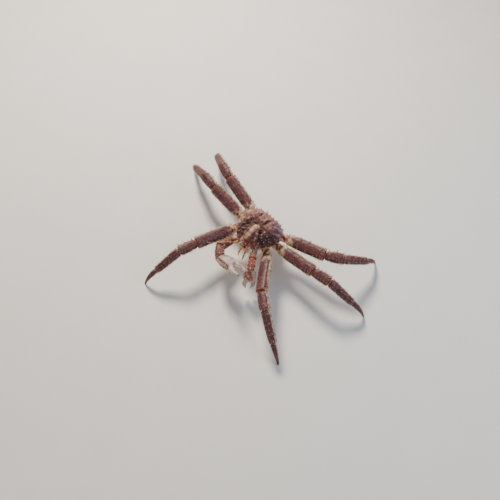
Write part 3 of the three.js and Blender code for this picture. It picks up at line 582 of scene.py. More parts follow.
class Form:
    """Points, faces and marks of one closed mesh or of several that make one piece."""

    def __init__(self):
        self.points, self.faces, self.marks = [], [], {}
        self.count = 0

    def add(self, points, faces, marks):
        points = np.asarray(points, float).reshape(-1, 3)
        if signed_volume(points, faces) < 0:
            faces = [tuple(reversed(face)) for face in faces]
        for name in set(self.marks) | set(marks):
            kept = self.marks.setdefault(name, [np.zeros(self.count)])
            kept.append(np.asarray(marks.get(name, np.zeros(len(points))), float).ravel())
        self.faces += [tuple(i + self.count for i in face) for face in faces]
        self.points.append(points)
        self.count += len(points)

    def add_rings(self, rings, marks, start_pole, end_pole):
        """A tube of rings, closed at both ends by a fan round a pole."""
        rows, sides = rings.shape[:2]
        faces = []
        for row in range(rows - 1):
            for k in range(sides):
                a, b = row * sides + k, row * sides + (k + 1) % sides
                faces.append((a, b, b + sides, a + sides))
        first, last = rows * sides, (rows - 1) * sides
        for k in range(sides):
            after = (k + 1) % sides
            faces.append((after, k, first))
            faces.append((last + k, last + after, first + 1))
        points = np.concatenate([rings.reshape(-1, 3), [start_pole, end_pole]])
        full = {
            name: np.concatenate([values.ravel(), [values[0].mean(), values[-1].mean()]])
            for name, values in marks.items()
        }
        self.add(points, faces, full)


def signed_volume(points, faces):
    total = 0.0
    for face in faces:
        a = points[face[0]]
        for k in range(1, len(face) - 1):
            total += np.dot(a, np.cross(points[face[k]], points[face[k + 1]]))
    return total


def add_limb(form, limb, roots, salt, sides=36, caps=("neck", "socket"), detail=1.0, marks=None):
    """Skin of an article with its bosses and unevenness, closed by a neck, a socket or a round end."""
    grid_t, grid_a, rings = limb.grid(limb.steps(), sides)
    middles = rings.mean(axis=1)
    near, far = grid_t * limb.length, (1 - grid_t) * limb.length
    rise = roots.bosses(rings)
    rise += detail * (0.35 * lumps(rings, 7.0, salt) + 0.18 * lumps(rings, 2.6, salt + 1))
    rise *= smoothstep(0.0, 5.0, near) * smoothstep(0.0, 2.0, far)
    rise += 0.25 * np.sin(near * 4.2) * (1 - smoothstep(3.0, 5.0, near)) * (caps[0] == "neck")
    rings = rings + grid_normals(rings, middles) * rise[..., None]
    patchy = 0.7 + 0.9 * lumps(rings, 11.0, salt + 2) + 0.5 * lumps(rings, 4.0, salt + 3)
    # Cream along the upper and lower edges of the section: partly the shell's own pale edges, partly painted
    # highlight.
    edges = bell(np.sin(grid_a) - 1, 0.1) + 0.8 * bell(np.sin(grid_a) + 1, 0.12)
    values = {
        "pale": smoothstep(0.75, 1.15, -np.sin(grid_a) + 0.5 * lumps(rings, 14.0, salt + 4)),
        "crest": np.clip(edges * patchy, 0, 1),
        "joint": (1 - smoothstep(1.6, 3.4, near)) if caps[0] == "neck" else np.zeros_like(near),
    }
    values.update({name: rule(grid_t, grid_a) for name, rule in (marks or {}).items()})
    if "rust" in values:
        values["rust"] = values["rust"] * np.clip(0.3 + patchy, 0, 1)
    first, start_pole = end_rings(rings[0], unit(middles[0] - middles[1]), caps[0])
    last, end_pole = end_rings(rings[-1], unit(middles[-1] - middles[-2]), caps[1])
    ends = ((len(first), len(last)), (0, 0))
    full = {name: np.pad(value, ends, mode="edge") for name, value in values.items()}
    if caps[0] == "neck":
        full["joint"][:len(first)] = 1.0
    if caps[1] == "socket":
        full["joint"][-len(last):] = 1.0
    form.add_rings(np.concatenate([first[::-1], rings, last]), full, start_pole, end_pole)


# Rings that close an end: scale and distance beyond it, in mm, and the distance of the pole.
CAPS = {
    "round_end": (((0.93, 1.4), (0.72, 2.8), (0.4, 3.6)), 3.9),
    "neck": (((0.9, 0.8), (0.6, 2.0)), 2.6),
    "socket": (((0.93, 0.1), (0.86, -1.6), (0.6, -4.2)), -5.0),
    "round": (((0.86, 0.45), (0.5, 0.85)), 1.0),
    "flat": (((0.98, 0.0), (0.6, 0.0)), 0.0),
}


def end_rings(ring, outward, kind):
    middle = ring.mean(axis=0)
    rings, pole = CAPS[kind]
    size = np.linalg.norm(ring - middle, axis=1).mean() if kind == "round" else 1.0
    stack = [middle + (ring - middle) * scale + outward * away * size for scale, away in rings]
    return np.array(stack), middle + outward * pole * size


# Objects


def frame_shift():
    """Offset from the middle of the carapace to the frame, read from the thorax."""
    low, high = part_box("thorax")
    rear = THORAX_LEVELS[0][1] * float(outline_radius(np.array([math.pi]))[0])
    return np.array([(low.x + high.x) / 2 / MM, high.y / MM - rear, 0.0])


def to_frame(points):
    return (np.asarray(points, float).reshape(-1, 3) + frame_shift()) * MM


def new_object(name, data):
    obj = bpy.data.objects.new(name, data)
    bpy.context.scene.collection.objects.link(obj)
    return obj


def write_mark(mesh, name, values):
    """Gives every point of a mesh a number."""
    attribute = mesh.attributes.new(name, "FLOAT", "POINT")
    attribute.data.foreach_set("value", np.asarray(values, np.float32))


def marked_mesh(name, points, faces, marks):
    mesh = bpy.data.meshes.new(name)
    mesh.from_pydata(points.tolist(), [], faces)
    for mark, values in marks.items():
        write_mark(mesh, mark, values)
    return mesh


def object_from_form(name, form, slot):
    marks = {mark: np.concatenate(values) for mark, values in form.marks.items()}
    mesh = marked_mesh(name, to_frame(np.concatenate(form.points)), form.faces, marks)
    mesh.shade_smooth()
    mesh.materials.append(finish(slot))
    return new_object(name, mesh)


def roots_object(name, roots):
    """Loose points that carry what each spine needs."""
    base, rise, reach, girth, pale, deep = (np.array(column) for column in zip(*roots.rows))
    marks = {"reach": reach * MM, "girth": girth * MM, "pale": pale, "deep": deep}
    mesh = marked_mesh(name, to_frame(base), [], marks)
    along = mesh.attributes.new("rise", "FLOAT_VECTOR", "POINT")
    along.data.foreach_set("vector", rise.astype(np.float32).ravel())
    return new_object(name, mesh)


def joined_copy(objects, name):
    """One object with the meshes of several."""
    points, faces, marks, count = [], [], {}, 0
    names = {a.name for obj in objects for a in obj.data.attributes if a.data_type == "FLOAT"}
    for mesh in [obj.data for obj in objects]:
        flat = np.empty(3 * len(mesh.vertices))
        mesh.vertices.foreach_get("co", flat)
        points.append(flat.reshape(-1, 3))
        faces += [tuple(i + count for i in polygon.vertices) for polygon in mesh.polygons]
        for mark in names:
            values = np.zeros(len(mesh.vertices))
            if mark in mesh.attributes:
                mesh.attributes[mark].data.foreach_get("value", values)
            marks.setdefault(mark, []).append(values)
        count += len(mesh.vertices)
    marks = {mark: np.concatenate(values) for mark, values in marks.items()}
    return new_object(name, marked_mesh(name, np.concatenate(points), faces, marks))


def dress(piece, slot, *nodes):
    """Hands a finished piece to the frame."""
    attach(piece, "root")
    if nodes:
        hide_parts(*nodes)
    return piece


def make_piece(name, form, slot):
    """A piece that stands in for the solid of the same name."""
    return dress(object_from_form(name, form, slot), slot, name)


def baked(obj, name):
    """Plain mesh of an object with its modifiers, in place of the object."""
    graph = bpy.context.evaluated_depsgraph_get()
    mesh = bpy.data.meshes.new_from_object(obj.evaluated_get(graph), depsgraph=graph)
    mesh.name = name
    bpy.data.objects.remove(obj)
    return new_object(name, mesh)


# Node trees


def feed(tree, node, inputs):
    """Gives each input a value, or the socket that feeds it."""
    for key, value in inputs.items():
        if isinstance(value, bpy.types.NodeSocket):
            tree.links.new(value, node.inputs[key])
        else:
            node.inputs[key].default_value = value
    return node


def add_node(tree, kind, inputs=None, **settings):
    """Adds one node with its settings and links."""
    node = tree.nodes.new(kind)
    for key, value in settings.items():
        setattr(node, key, value)
    return feed(tree, node, inputs or {})


def new_tree(name, inputs):
    """Geometry tree with named inputs, the sockets that carry them and its output node."""
    tree = bpy.data.node_groups.new(name, "GeometryNodeTree")
    for label, kind in {"Geometry": "Geometry", **inputs}.items():
        tree.interface.new_socket(label, in_out="INPUT", socket_type=f"NodeSocket{kind}")
    tree.interface.new_socket("Geometry", in_out="OUTPUT", socket_type="NodeSocketGeometry")
    return tree, tree.nodes.new("NodeGroupInput").outputs, tree.nodes.new("NodeGroupOutput")


def add_thorn(tree, sides, segments, waist, paleness):
    """Unit thorn with hollow flanks, whose mark named tip rises from 0 at the root to the paleness."""
    cone = add_node(tree, "GeometryNodeMeshCone", {
        "Vertices": sides, "Side Segments": segments, "Radius Top": 0.07, "Radius Bottom": 1.0, "Depth": 1.0,
    }, fill_type="NGON")
    place = add_node(tree, "GeometryNodeInputPosition").outputs["Position"]
    height = add_node(tree, "ShaderNodeSeparateXYZ", {"Vector": place}).outputs["Z"]
    rest = add_node(tree, "ShaderNodeMath", {0: 1.0, 1: height}, operation="SUBTRACT")
    hump = add_node(tree, "ShaderNodeMath", {0: height, 1: rest.outputs[0]}, operation="MULTIPLY")
    thin = add_node(tree, "ShaderNodeMath", {0: hump.outputs[0], 1: -waist, 2: 1.0}, operation="MULTIPLY_ADD")
    scale = add_node(tree, "ShaderNodeCombineXYZ", {"X": thin.outputs[0], "Y": thin.outputs[0], "Z": 1.0})
    shaped = add_node(tree, "ShaderNodeVectorMath", {0: place, 1: scale.outputs[0]}, operation="MULTIPLY")
    moved = add_node(tree, "GeometryNodeSetPosition", {
        "Geometry": cone.outputs["Mesh"], "Position": shaped.outputs[0],
    })
    pale = add_node(tree, "ShaderNodeMath", {0: height, 1: paleness}, operation="MULTIPLY")
    return add_node(tree, "GeometryNodeStoreNamedAttribute", {
        "Name": "tip", "Geometry": moved.outputs[0], "Value": pale.outputs[0],
    }, data_type="FLOAT", domain="POINT").outputs[0]


def end_tree(tree, points, thorn, turn, size, finish, target):
    """Stands the thorn on each point, turned and scaled, as one plain mesh of one finish."""
    placed = add_node(tree, "GeometryNodeInstanceOnPoints", {
        "Points": points, "Instance": thorn, "Rotation": turn.outputs[0], "Scale": size.outputs[0],
    })
    whole = add_node(tree, "GeometryNodeRealizeInstances", {"Geometry": placed.outputs[0]})
    finished = add_node(tree, "GeometryNodeSetMaterial", {"Geometry": whole.outputs[0], "Material": finish})
    smooth = add_node(tree, "GeometryNodeSetShadeSmooth", {"Geometry": finished.outputs[0]})
    tree.links.new(smooth.outputs[0], target.inputs["Geometry"])
    return tree


def spine_tree(name):
    """Tree that stands a thorn on each point of a mesh, along the point's own direction."""
    tree, given, target = new_tree(name, {"Sink": "Float", "Finish": "Material"})
    thorn = add_thorn(tree, sides=9, segments=4, waist=1.1, paleness=1.0)
    points = add_node(tree, "GeometryNodeMeshToPoints", {"Mesh": given["Geometry"]})
    rise, reach, girth = (
        add_node(tree, "GeometryNodeInputNamedAttribute", {"Name": mark}, data_type=kind).outputs[0]
        for mark, kind in (("rise", "FLOAT_VECTOR"), ("reach", "FLOAT"), ("girth", "FLOAT"))
    )
    turn = add_node(tree, "FunctionNodeAlignRotationToVector", {"Vector": rise}, axis="Z")
    deep = add_node(tree, "ShaderNodeMath", {0: reach, 1: given["Sink"]}, operation="ADD")
    size = add_node(tree, "ShaderNodeCombineXYZ", {"X": girth, "Y": girth, "Z": deep.outputs[0]})
    lower = add_node(tree, "ShaderNodeMath", {0: given["Sink"], 1: -1.0}, operation="MULTIPLY")
    down = add_node(tree, "ShaderNodeVectorMath", {0: rise, "Scale": lower.outputs[0]}, operation="SCALE")
    sunk = add_node(tree, "GeometryNodeSetPosition", {
        "Geometry": points.outputs["Points"], "Offset": down.outputs[0],
    })
    return end_tree(tree, sunk.outputs[0], thorn, turn, size, given["Finish"], target)


def cover_tree(name):
    """Tree that strews thorns over a surface, where the mark with the given name is high."""
    tree, given, target = new_tree(name, {
        "Where": "String", "Spacing": "Float", "Height": "Float", "Radius": "Float", "Paleness": "Float",
        "Lean": "Vector", "Seed": "Int", "Finish": "Material",
    })
    thorn = add_thorn(tree, sides=5, segments=2, waist=0.3, paleness=given["Paleness"])
    where = add_node(tree, "GeometryNodeInputNamedAttribute", {"Name": given["Where"]}, data_type="FLOAT")
    points = add_node(tree, "GeometryNodeDistributePointsOnFaces", {
        "Mesh": given["Geometry"], "Distance Min": given["Spacing"], "Density Max": MOST_THORNS,
        "Density Factor": where.outputs["Attribute"], "Seed": given["Seed"],
    }, distribute_method="POISSON")
    leaning = add_node(tree, "ShaderNodeVectorMath", {
        0: points.outputs["Normal"], 1: given["Lean"],
    }, operation="ADD")
    turn = add_node(tree, "FunctionNodeAlignRotationToVector", {"Vector": leaning.outputs[0]}, axis="Z")
    share = add_node(tree, "FunctionNodeRandomValue", {
        2: THORN_VARIATION[0], 3: THORN_VARIATION[1], "Seed": given["Seed"],
    }, data_type="FLOAT").outputs[1]
    height, radius = (
        add_node(tree, "ShaderNodeMath", {0: share, 1: given[label]}, operation="MULTIPLY").outputs[0]
        for label in ("Height", "Radius")
    )
    size = add_node(tree, "ShaderNodeCombineXYZ", {"X": radius, "Y": radius, "Z": height})
    return end_tree(tree, points.outputs["Points"], thorn, turn, size, given["Finish"], target)


def grow(obj, name, slot, tree_name, make_tree, values):
    """Runs a tree on an object and hands the plain mesh that comes out to the frame."""
    tree = bpy.data.node_groups.get(tree_name) or make_tree(tree_name)
    modifier = obj.modifiers.new(tree_name, "NODES")
    modifier.node_group = tree
    identifiers = {item.name: item.identifier for item in tree.interface.items_tree if item.in_out == "INPUT"}
    for label, value in values.items():
        modifier[identifiers[label]] = value
    return dress(baked(obj, name), slot)


def grow_spines(name, roots, slot):
    grow(roots_object(f"{name}_roots", roots), name, slot, "spines_on_roots", spine_tree, {
        "Sink": SPINE_SINK * MM, "Finish": finish(slot),
    })


def strew(name, shells, slot, salt, values):
    """Thorns over the shells of a limb, as one piece."""
    grow(joined_copy(shells, f"{name}_ground"), name, slot, "thorns_on_surface", cover_tree, {
        **values, "Seed": sizes().seed + salt,
    })


def grow_granules(name, shells, slot, salt, scale=1.0, paleness=0.45):
    size = sizes()
    strew(name, shells, slot, salt, {
        "Where": "grain", "Spacing": size.granule_spacing * scale, "Height": size.granule_height * scale,
        "Radius": size.granule_radius * scale, "Paleness": paleness, "Lean": (0.0, 0.0, 0.0),
        "Finish": finish(slot),
    })


def grow_bristles(name, shells, slot, salt, lean, scale):
    size = sizes()
    strew(name, shells, slot, salt, {
        "Where": "tuft", "Spacing": size.bristle_spacing, "Height": size.bristle_length * scale,
        "Radius": size.bristle_radius, "Paleness": 0.0, "Lean": lean, "Finish": finish("bristles"),
    })


# Finishes


def per_mm(size):
    """Scale of a pattern whose cells are this many millimetres wide."""
    return 1.0 / (size * MM)


def place_in(tree):
    """Place of a point in the crab's own coordinates."""
    return tree.nodes["Texture Coordinate"].outputs["Object"]


def paint(tree, base, tint, field, edges, strength):
    """Another colour over the base, where a field rises from its first edge to its second."""
    share = add_node(tree, "ShaderNodeMapRange", {
        "Value": field, "From Min": edges[0], "From Max": edges[1], "To Max": strength,
    })
    mix = add_node(tree, "ShaderNodeMix", {0: share.outputs[0], 6: base, 7: rgba(tint)}, data_type="RGBA")
    return mix.outputs[2]


def paint_patches(tree, base, tint, size, edges, strength):
    """Cloudy patches of another colour, of one size in mm."""
    clouds = add_node(tree, "ShaderNodeTexNoise", {
        "Vector": place_in(tree), "Scale": per_mm(size), "Detail": 4.0, "Roughness": 0.6,
    })
    return paint(tree, base, tint, clouds.outputs["Fac"], edges, strength)


def paint_specks(tree, base, tint, size, reach, strength):
    """Round specks of another colour, one in each cell of the given size in mm."""
    cells = add_node(tree, "ShaderNodeTexVoronoi", {
        "Vector": place_in(tree), "Scale": per_mm(size),
    }, feature="F1")
    return paint(tree, base, tint, cells.outputs["Distance"], (reach, 0.0), strength)


def paint_mark(tree, base, tint, mark, edges, strength):
    """Another colour where the shell carries a mark."""
    marked = add_node(tree, "ShaderNodeAttribute", attribute_name=mark)
    return paint(tree, base, tint, marked.outputs["Fac"], edges, strength)


def roughened(tree, pits, grain, height):
    """Fine relief: pits of one size and grain of another, in mm, with their height."""
    cells = add_node(tree, "ShaderNodeTexVoronoi", {
        "Vector": place_in(tree), "Scale": per_mm(pits),
    }, feature="F1")
    coarse = add_node(tree, "ShaderNodeBump", {
        "Height": cells.outputs["Distance"], "Strength": 0.5, "Distance": height * MM,
    }, invert=True)
    clouds = add_node(tree, "ShaderNodeTexNoise", {
        "Vector": place_in(tree), "Scale": per_mm(grain), "Detail": 3.0,
    })
    return add_node(tree, "ShaderNodeBump", {
        "Height": clouds.outputs["Fac"], "Strength": 0.35, "Distance": 0.6 * height * MM,
        "Normal": coarse.outputs[0],
    }).outputs[0]


def new_finish(name, first, layers, values, relief=None):
    """Material whose colour is laid in layers over the first one. Each layer is a function, the colour and
    what else the function needs."""
    material = bpy.data.materials.new(name)
    material.use_nodes = True
    tree = material.node_tree
    add_node(tree, "ShaderNodeTexCoord")
    base = rgba(first)
    for paint_layer, *settings in layers:
        base = paint_layer(tree, base, *settings)
    shader = feed(tree, tree.nodes["Principled BSDF"], {"Base Color": base, **values})
    if relief:
        feed(tree, shader, {"Normal": roughened(tree, *relief)})
    return material, tree, shader


def chitin(name, main, dark, light, pale, tip, mottle, tip_from):
    """Mineralised crab shell, wet: mottled pigment under a thin film of water. Colour drifts over
    patches the width of a thumb and again over freckles of a few millimetres; the grain gives it tooth."""
    tint = colours()
    material, tree, shader = new_finish(name, main, (
        (paint_patches, dark, mottle, (0.52, 0.66), 0.85),
        (paint_patches, light, 0.45 * mottle, (0.52, 0.7), 0.7),
        (paint_patches, dark, 3.2, (0.55, 0.66), 0.6),
        (paint_specks, light, 2.6, 0.3, 0.6),
        # Painted light on the upper rear of the carapace and on its boss tops, with random light dapples.
        (paint_mark, light, "worn", (0.0, 1.0), 0.75),
        # Lilac grey, partly the shell's own and partly a painted reflection of bluish sky light.
        (paint_mark, tint.cool, "cool", (0.1, 1.0), 0.76),
        (paint_mark, tint.rust, "rust", (0.1, 0.9), 0.85),
        # Painted shade on the carapace and its spines: grooves, hollows and shaded patches, with random dark
        # dapples.
        (paint_mark, dark, "deep", (0.0, 1.0), 0.92),
        # Painted highlight along the middle ridge of the carapace.
        (paint_mark, tint.ridge, "warm", (0.1, 0.9), 1.0),
        # Cream limb edges, partly their own colour and partly painted highlight, and painted highlights on
        # the carapace margin.
        (paint_mark, tint.edge, "crest", (0.15, 0.9), 0.9),
        (paint_mark, pale, "pale", (0.15, 0.85), 0.95),
        (paint_mark, tint.membrane, "joint", (0.2, 1.0), 0.9),
        (paint_patches, main, 0.45 * mottle, (0.52, 0.68), 0.5),
        (paint_mark, tip, "tip", (tip_from, tip_from + 0.7), 0.9),
        (paint_mark, tint.horn, "horn", (0.0, 1.0), 1.0),
    ), {
        "IOR": 1.55, "Coat Weight": 0.12, "Coat Roughness": 0.3, "Subsurface Weight": 0.04,
        "Subsurface Radius": (0.004, 0.0015, 0.001),
    }, (2.1, 1.0, 0.6))
    clouds = add_node(tree, "ShaderNodeTexNoise", {
        "Vector": place_in(tree), "Scale": per_mm(6.0), "Detail": 3.0,
    })
    wet = add_node(tree, "ShaderNodeMapRange", {
        "Value": clouds.outputs["Fac"], "From Min": 0.3, "From Max": 0.7, "To Min": 0.44, "To Max": 0.68,
    })
    feed(tree, shader, {"Roughness": wet.outputs[0]})
    return material


def carapace_finish(name):
    """Wet shell of the back, maroon, with painted shade, painted light and painted highlights."""
    tint = colours()
    return chitin(name, tint.shell, tint.shell_dark, tint.shell_light, tint.underside, tint.shell_tip,
                  24.0, 0.25)


def leg_finish(name):
    """Wet shell of the walking legs, wine red with cream edges."""
    tint = colours()
    return chitin(name, tint.leg, tint.leg_dark, tint.leg_light, tint.underside, tint.spine_tip, 18.0, 0.15)


def claw_finish(name):
    """Wet shell of the claws, with white inner faces."""
    tint = colours()
    return chitin(name, tint.claw, tint.shell_dark, tint.shell_light, tint.hand, tint.spine_tip, 15.0, 0.1)


def underside_finish(name):
    """Thin pale shell of the belly: cream with rusty blotches, duller than the back."""
    tint = colours()
    return new_finish(name, tint.underside, (
        (paint_patches, tint.claw, 14.0, (0.5, 0.66), 0.75),
        (paint_specks, tint.spine_tip, 3.0, 0.3, 0.35),
        (paint_mark, tint.membrane, "deep", (0.0, 1.0), 1.0),
        (paint_mark, tint.spine_tip, "tip", (0.2, 0.9), 1.0),
    ), {"Roughness": 0.5, "IOR": 1.55, "Coat Weight": 0.15, "Coat Roughness": 0.3}, (3.4, 1.6, 0.4))[0]


def feeler_finish(name):
    """Horny skin of feelers and mouthparts: thin, orange and slightly see-through at its edges."""
    tint = colours()
    return new_finish(name, tint.feeler, (
        (paint_patches, tint.underside, 7.0, (0.42, 0.62), 0.9),
        (paint_patches, tint.rust, 4.0, (0.54, 0.66), 0.8),
        (paint_mark, tint.shell_dark, "deep", (0.0, 1.0), 0.5),
        (paint_mark, tint.spine_tip, "tip", (0.2, 0.9), 1.0),
    ), {
        "Roughness": 0.42, "IOR": 1.54, "Subsurface Weight": 0.12,
        "Subsurface Radius": (0.003, 0.0015, 0.0008),
    }, (2.2, 1.1, 0.3))[0]


def bristle_finish(name):
    """Stiff chitin hairs, straw brown and slightly glossy."""
    tint = colours()
    layers = ((paint_patches, tint.bristle_light, 5.0, (0.3, 0.7), 1.0),)
    return new_finish(name, tint.bristle, layers, {"Roughness": 0.45, "IOR": 1.55})[0]


def eye_finish(name):
    """Cornea of the eye: black, smooth and wet, with the faintest brown depth and fine facets."""
    tint = colours()
    layers = ((paint_patches, tint.horn, 3.0, (0.4, 0.7), 1.0),)
    material, tree, shader = new_finish(name, tint.eye, layers, {
        "Roughness": 0.12, "IOR": 1.4, "Coat Weight": 1.0, "Coat Roughness": 0.03,
    })
    facets = add_node(tree, "ShaderNodeTexVoronoi", {
        "Vector": place_in(tree), "Scale": per_mm(0.35),
    }, feature="F1")
    bump = add_node(tree, "ShaderNodeBump", {
        "Height": facets.outputs["Distance"], "Strength": 0.12, "Distance": 0.1 * MM,
    })
    feed(tree, shader, {"Normal": bump.outputs[0]})
    return material


def floor_finish(name):
    """Matt painted board: nearly even, with a faint drift of tone."""
    tint = colours()
    layers = ((paint_patches, tint.floor_shade, 180.0, (0.35, 0.7), 0.15),)
    return new_finish(name, tint.floor, layers, {"Roughness": 0.85})[0]


# Finish of each slot, of the bristles and of the floor: the material's name and the function that makes it.
FINISHES = {
    "carapace": ("crab_shell_wet_carapace", carapace_finish),
    "leg": ("crab_shell_wet_legs", leg_finish),
    "claw": ("crab_shell_wet_claws", claw_finish),
    "underside": ("crab_shell_pale_belly", underside_finish),
    "mouthparts": ("horn_thin_feelers", feeler_finish),
    "eye": ("cornea_wet_black", eye_finish),
    "bristles": ("chitin_hairs_straw", bristle_finish),
    "floor": ("floor_matt_paint", floor_finish),
}


def finish(use):
    name, make = FINISHES[use]
    return bpy.data.materials.get(name) or make(name)


# Carapace and body


def outline_radius(angle):
    """Radius of the carapace outline at an angle from the front."""
    wrapped = np.abs(np.arctan2(np.sin(angle), np.cos(angle)))
    smooth = sum(term * np.cos(k * wrapped) for k, term in enumerate(OUTLINE_TERMS))
    away = (wrapped - math.radians(ORBIT["angle"])) / math.radians(ORBIT["spread"])
    return smooth - ORBIT["depth"] * np.exp(-away * away)


def on_outline(angle, share, height):
    radius = share * outline_radius(angle)
    height = np.broadcast_to(height, radius.shape)
    return np.stack([radius * np.sin(angle), -radius * np.cos(angle), height], -1)


def distance_to_line(x, y, line):
    """Least distance from points to a line of straight stretches."""
    best = np.full(x.shape, 1e9)
    for (ax, ay), (bx, by) in zip(line, line[1:]):
        run = (bx - ax) ** 2 + (by - ay) ** 2
        t = np.clip(((x - ax) * (bx - ax) + (y - ay) * (by - ay)) / run, 0, 1)
        best = np.minimum(best, np.hypot(x - ax - t * (bx - ax), y - ay - t * (by - ay)))
    return best


def groove_depth(x, y):
    return sum(deep * bell(distance_to_line(np.abs(x), y, line), wide) for wide, deep, line in GROOVES)


def patches(x, y, places):
    """Share from 0 to 1 of oval patches whose places are given along the diagonals of the carapace."""
    towards_left_rear, towards_right_rear = (x + y) / math.sqrt(2), (y - x) / math.sqrt(2)
    return np.clip(sum(bell(towards_left_rear - left, long) * bell(towards_right_rear - right, wide)
                       for left, right, long, wide in places), 0, 1)


def relief(x, y, highest=math.inf):
    """Height of the swellings and hollows of the carapace. Those above the highest are cut down to it."""
    return sum(min(height, highest) * np.exp(-((np.abs(x) - across) / wide) ** 2 - ((y - back) / long) ** 2)
               for across, back, wide, long, height in REGIONS)


def carapace_point(angle, rho):
    base = on_outline(angle, rho, 0.0)
    dome = DOME["height"] * (1 - rho ** DOME["fullness"]) ** DOME["shoulder"]
    base[..., 2] = MARGIN + dome + relief(base[..., 0], base[..., 1]) * (1 - rho ** 6)
    return base


def carapace_spine_roots(rows, salt_shift=0.0, stray=1.0):
    """Roots of rows of spines on both halves. Stray spreads them out of line."""
    roots = Roots()
    for side in (-1, 1):
        for share, first, last, count, reach, radius, lift in rows:
            salt = share + 0.1 * side + salt_shift
            for i in range(count):
                turn = first + (last - first) * i / (count - 1)
                turn += 2.5 * stray * vary(i, salt)
                angle = side * math.radians(turn)
                rho = min(share + 0.012 * stray * vary(i + 19, salt), 0.995)
                base = carapace_point(np.array(angle), np.array(rho))
                size = reach * (1 + SPINE_VARIATION * vary(i + 43, salt))
                # Spines in the shaded patches take the painted shade too.
                roots.add(base, [math.sin(angle), -math.cos(angle), lift], size, radius,
                          deep=float(patches(base[0], base[1], SHADE_PATCHES)))
    return roots


def head_spine_roots():
    """Rostrum with its side spines, and the spines beside the eyes."""
    roots = Roots()
    along = unit([0, -1, ROSTRUM["lift"]])
    base = np.array([0, ROSTRUM["back"], MARGIN + ROSTRUM["above"]])
    roots.add(base, along, ROSTRUM["length"], ROSTRUM["radius"])
    for side in (-1, 1):
        roots.add(base + along * 8 + [side * 4, 0, 4], [side * 0.5, -0.7, 0.8], 10, 3.2)
        roots.add(base + along * 4 + [side * 9, 2, -2], [side * 0.7, -1, 0.25], 12, 3.6)
        beside_eye = carapace_point(np.array(side * math.radians(24)), np.array(0.97))
        roots.add(beside_eye, [side * 0.4, -1, 0.3], 11, 3.6)
    return roots


def make_carapace():
    rise = Roots()
    rise.rows = carapace_spine_roots(CARAPACE_SPINES).rows
    rise.rows += carapace_spine_roots(CARAPACE_LESSER_SPINES, LESSER_SALT, LESSER_STRAY).rows
    sides, rows = CARAPACE_GRID
    angle = ring_angles(sides)
    grid_rho, grid_a = np.meshgrid(1 - (1 - np.linspace(0.012, 1, rows)) ** 1.3, angle, indexing="ij")
    rings = carapace_point(grid_a, grid_rho)
    x, y = rings[..., 0], rings[..., 1]
    inner = 1 - grid_rho ** 8
    grooves = groove_depth(x, y) * inner
    rings[..., 2] -= grooves
    outward = unit(rings - [0, 0, MARGIN - 10])
    swelling = rise.bosses(rings, 0.5, 0.62)
    bump = swelling + 1.2 * lumps(rings, 9.0, 1) + 0.7 * lumps(rings, 3.8, 2)
    rings = rings + outward * (bump * (0.35 + 0.65 * inner))[..., None]
    under = np.array([on_outline(angle, share, MARGIN + drop) for share, drop in ROLLED_MARGIN])
    form = Form()
    top = carapace_point(np.array(0.0), np.array(0.0)) + [0, 0, 0.5]
    form.add_rings(np.concatenate([rings, under]), carapace_marks(rings, x, y, swelling, grooves), top,
                   np.array([0, 0, MARGIN - 5.0]))
    shell = make_piece("carapace", form, "carapace")
    rise.rows += head_spine_roots().rows
    grow_spines("carapace_spines", rise, "carapace")
    grow_granules("carapace_granules", [shell], "carapace", 1, 1.05, 0.36)


def carapace_marks(rings, x, y, swelling, grooves):
    """Where the carapace carries painted shade and dark dapples, painted light and light dapples, painted
    highlights, orange, and a lilac grey that is partly a painted sky reflection, with its pale rim last.
    """
    bosses = np.clip(swelling / 4.0, 0, 1)
    ragged = lumps(rings, 12.0, 11) + 0.5 * lumps(rings, 5.0, 12)
    dapple = lumps(rings, 9.0, 13)
    # Painted shade over the patches of the front slopes that lie in shadow.
    painted_shade = np.clip(1.7 * patches(x, y, SHADE_PATCHES) * (1 + 0.5 * ragged), 0, 1)
    # Painted shade in the grooves and hollows and over those patches, with random dark dapples; boss tops
    # stay lighter.
    dark = grooves / 3.4 - relief(x, y, 0) / 12.0 + painted_shade + np.clip(-1.3 * dapple - 0.25, 0, 0.5)
    # Painted highlight along the lit middle ridge, set a little to one side of the middle line.
    ridge = bell(x - 6 * smoothstep(-68, -40, y), 6.5) * smoothstep(4, -10, y) * smoothstep(-72, -60, y)
    # Painted light on the upper rear of the dome and on the boss tops, with random light dapples; it is kept
    # out of the painted shade below.
    worn = patches(x, y, LIT_PATCHES) * (0.9 + ragged) + 0.5 * bosses ** 2
    worn = worn + np.clip(1.2 * dapple - 0.2, 0, 0.5)
    front = bell(x, 38) * smoothstep(-52, -74, y)
    above = {
        "deep": np.clip(dark - 0.2 * bosses, 0, 0.95),
        "pale": np.zeros(x.shape),
        "warm": np.clip(ridge * (1.4 + 0.6 * ragged), 0, 1),
        # Lilac grey, partly the shell's own and partly a painted reflection of bluish sky light.
        "cool": patches(x, y, LILAC_SKY_SHEEN_PATCHES) * np.clip(0.9 + ragged, 0, 1),
        "worn": np.clip(worn, 0, 1) * (1 - 0.8 * painted_shade),
        # Painted highlights, mostly along the right margin.
        "crest": np.clip(patches(x, y, HIGHLIGHT_PATCHES) * (0.9 + 1.6 * ragged), 0, 1),
        "rust": np.clip(front * (0.7 + ragged), 0, 0.8),
        "grain": np.ones(x.shape),
    }
    added = ((0, len(ROLLED_MARGIN)), (0, 0))
    return {mark: np.pad(values, added, constant_values=mark == "pale") for mark, values in above.items()}


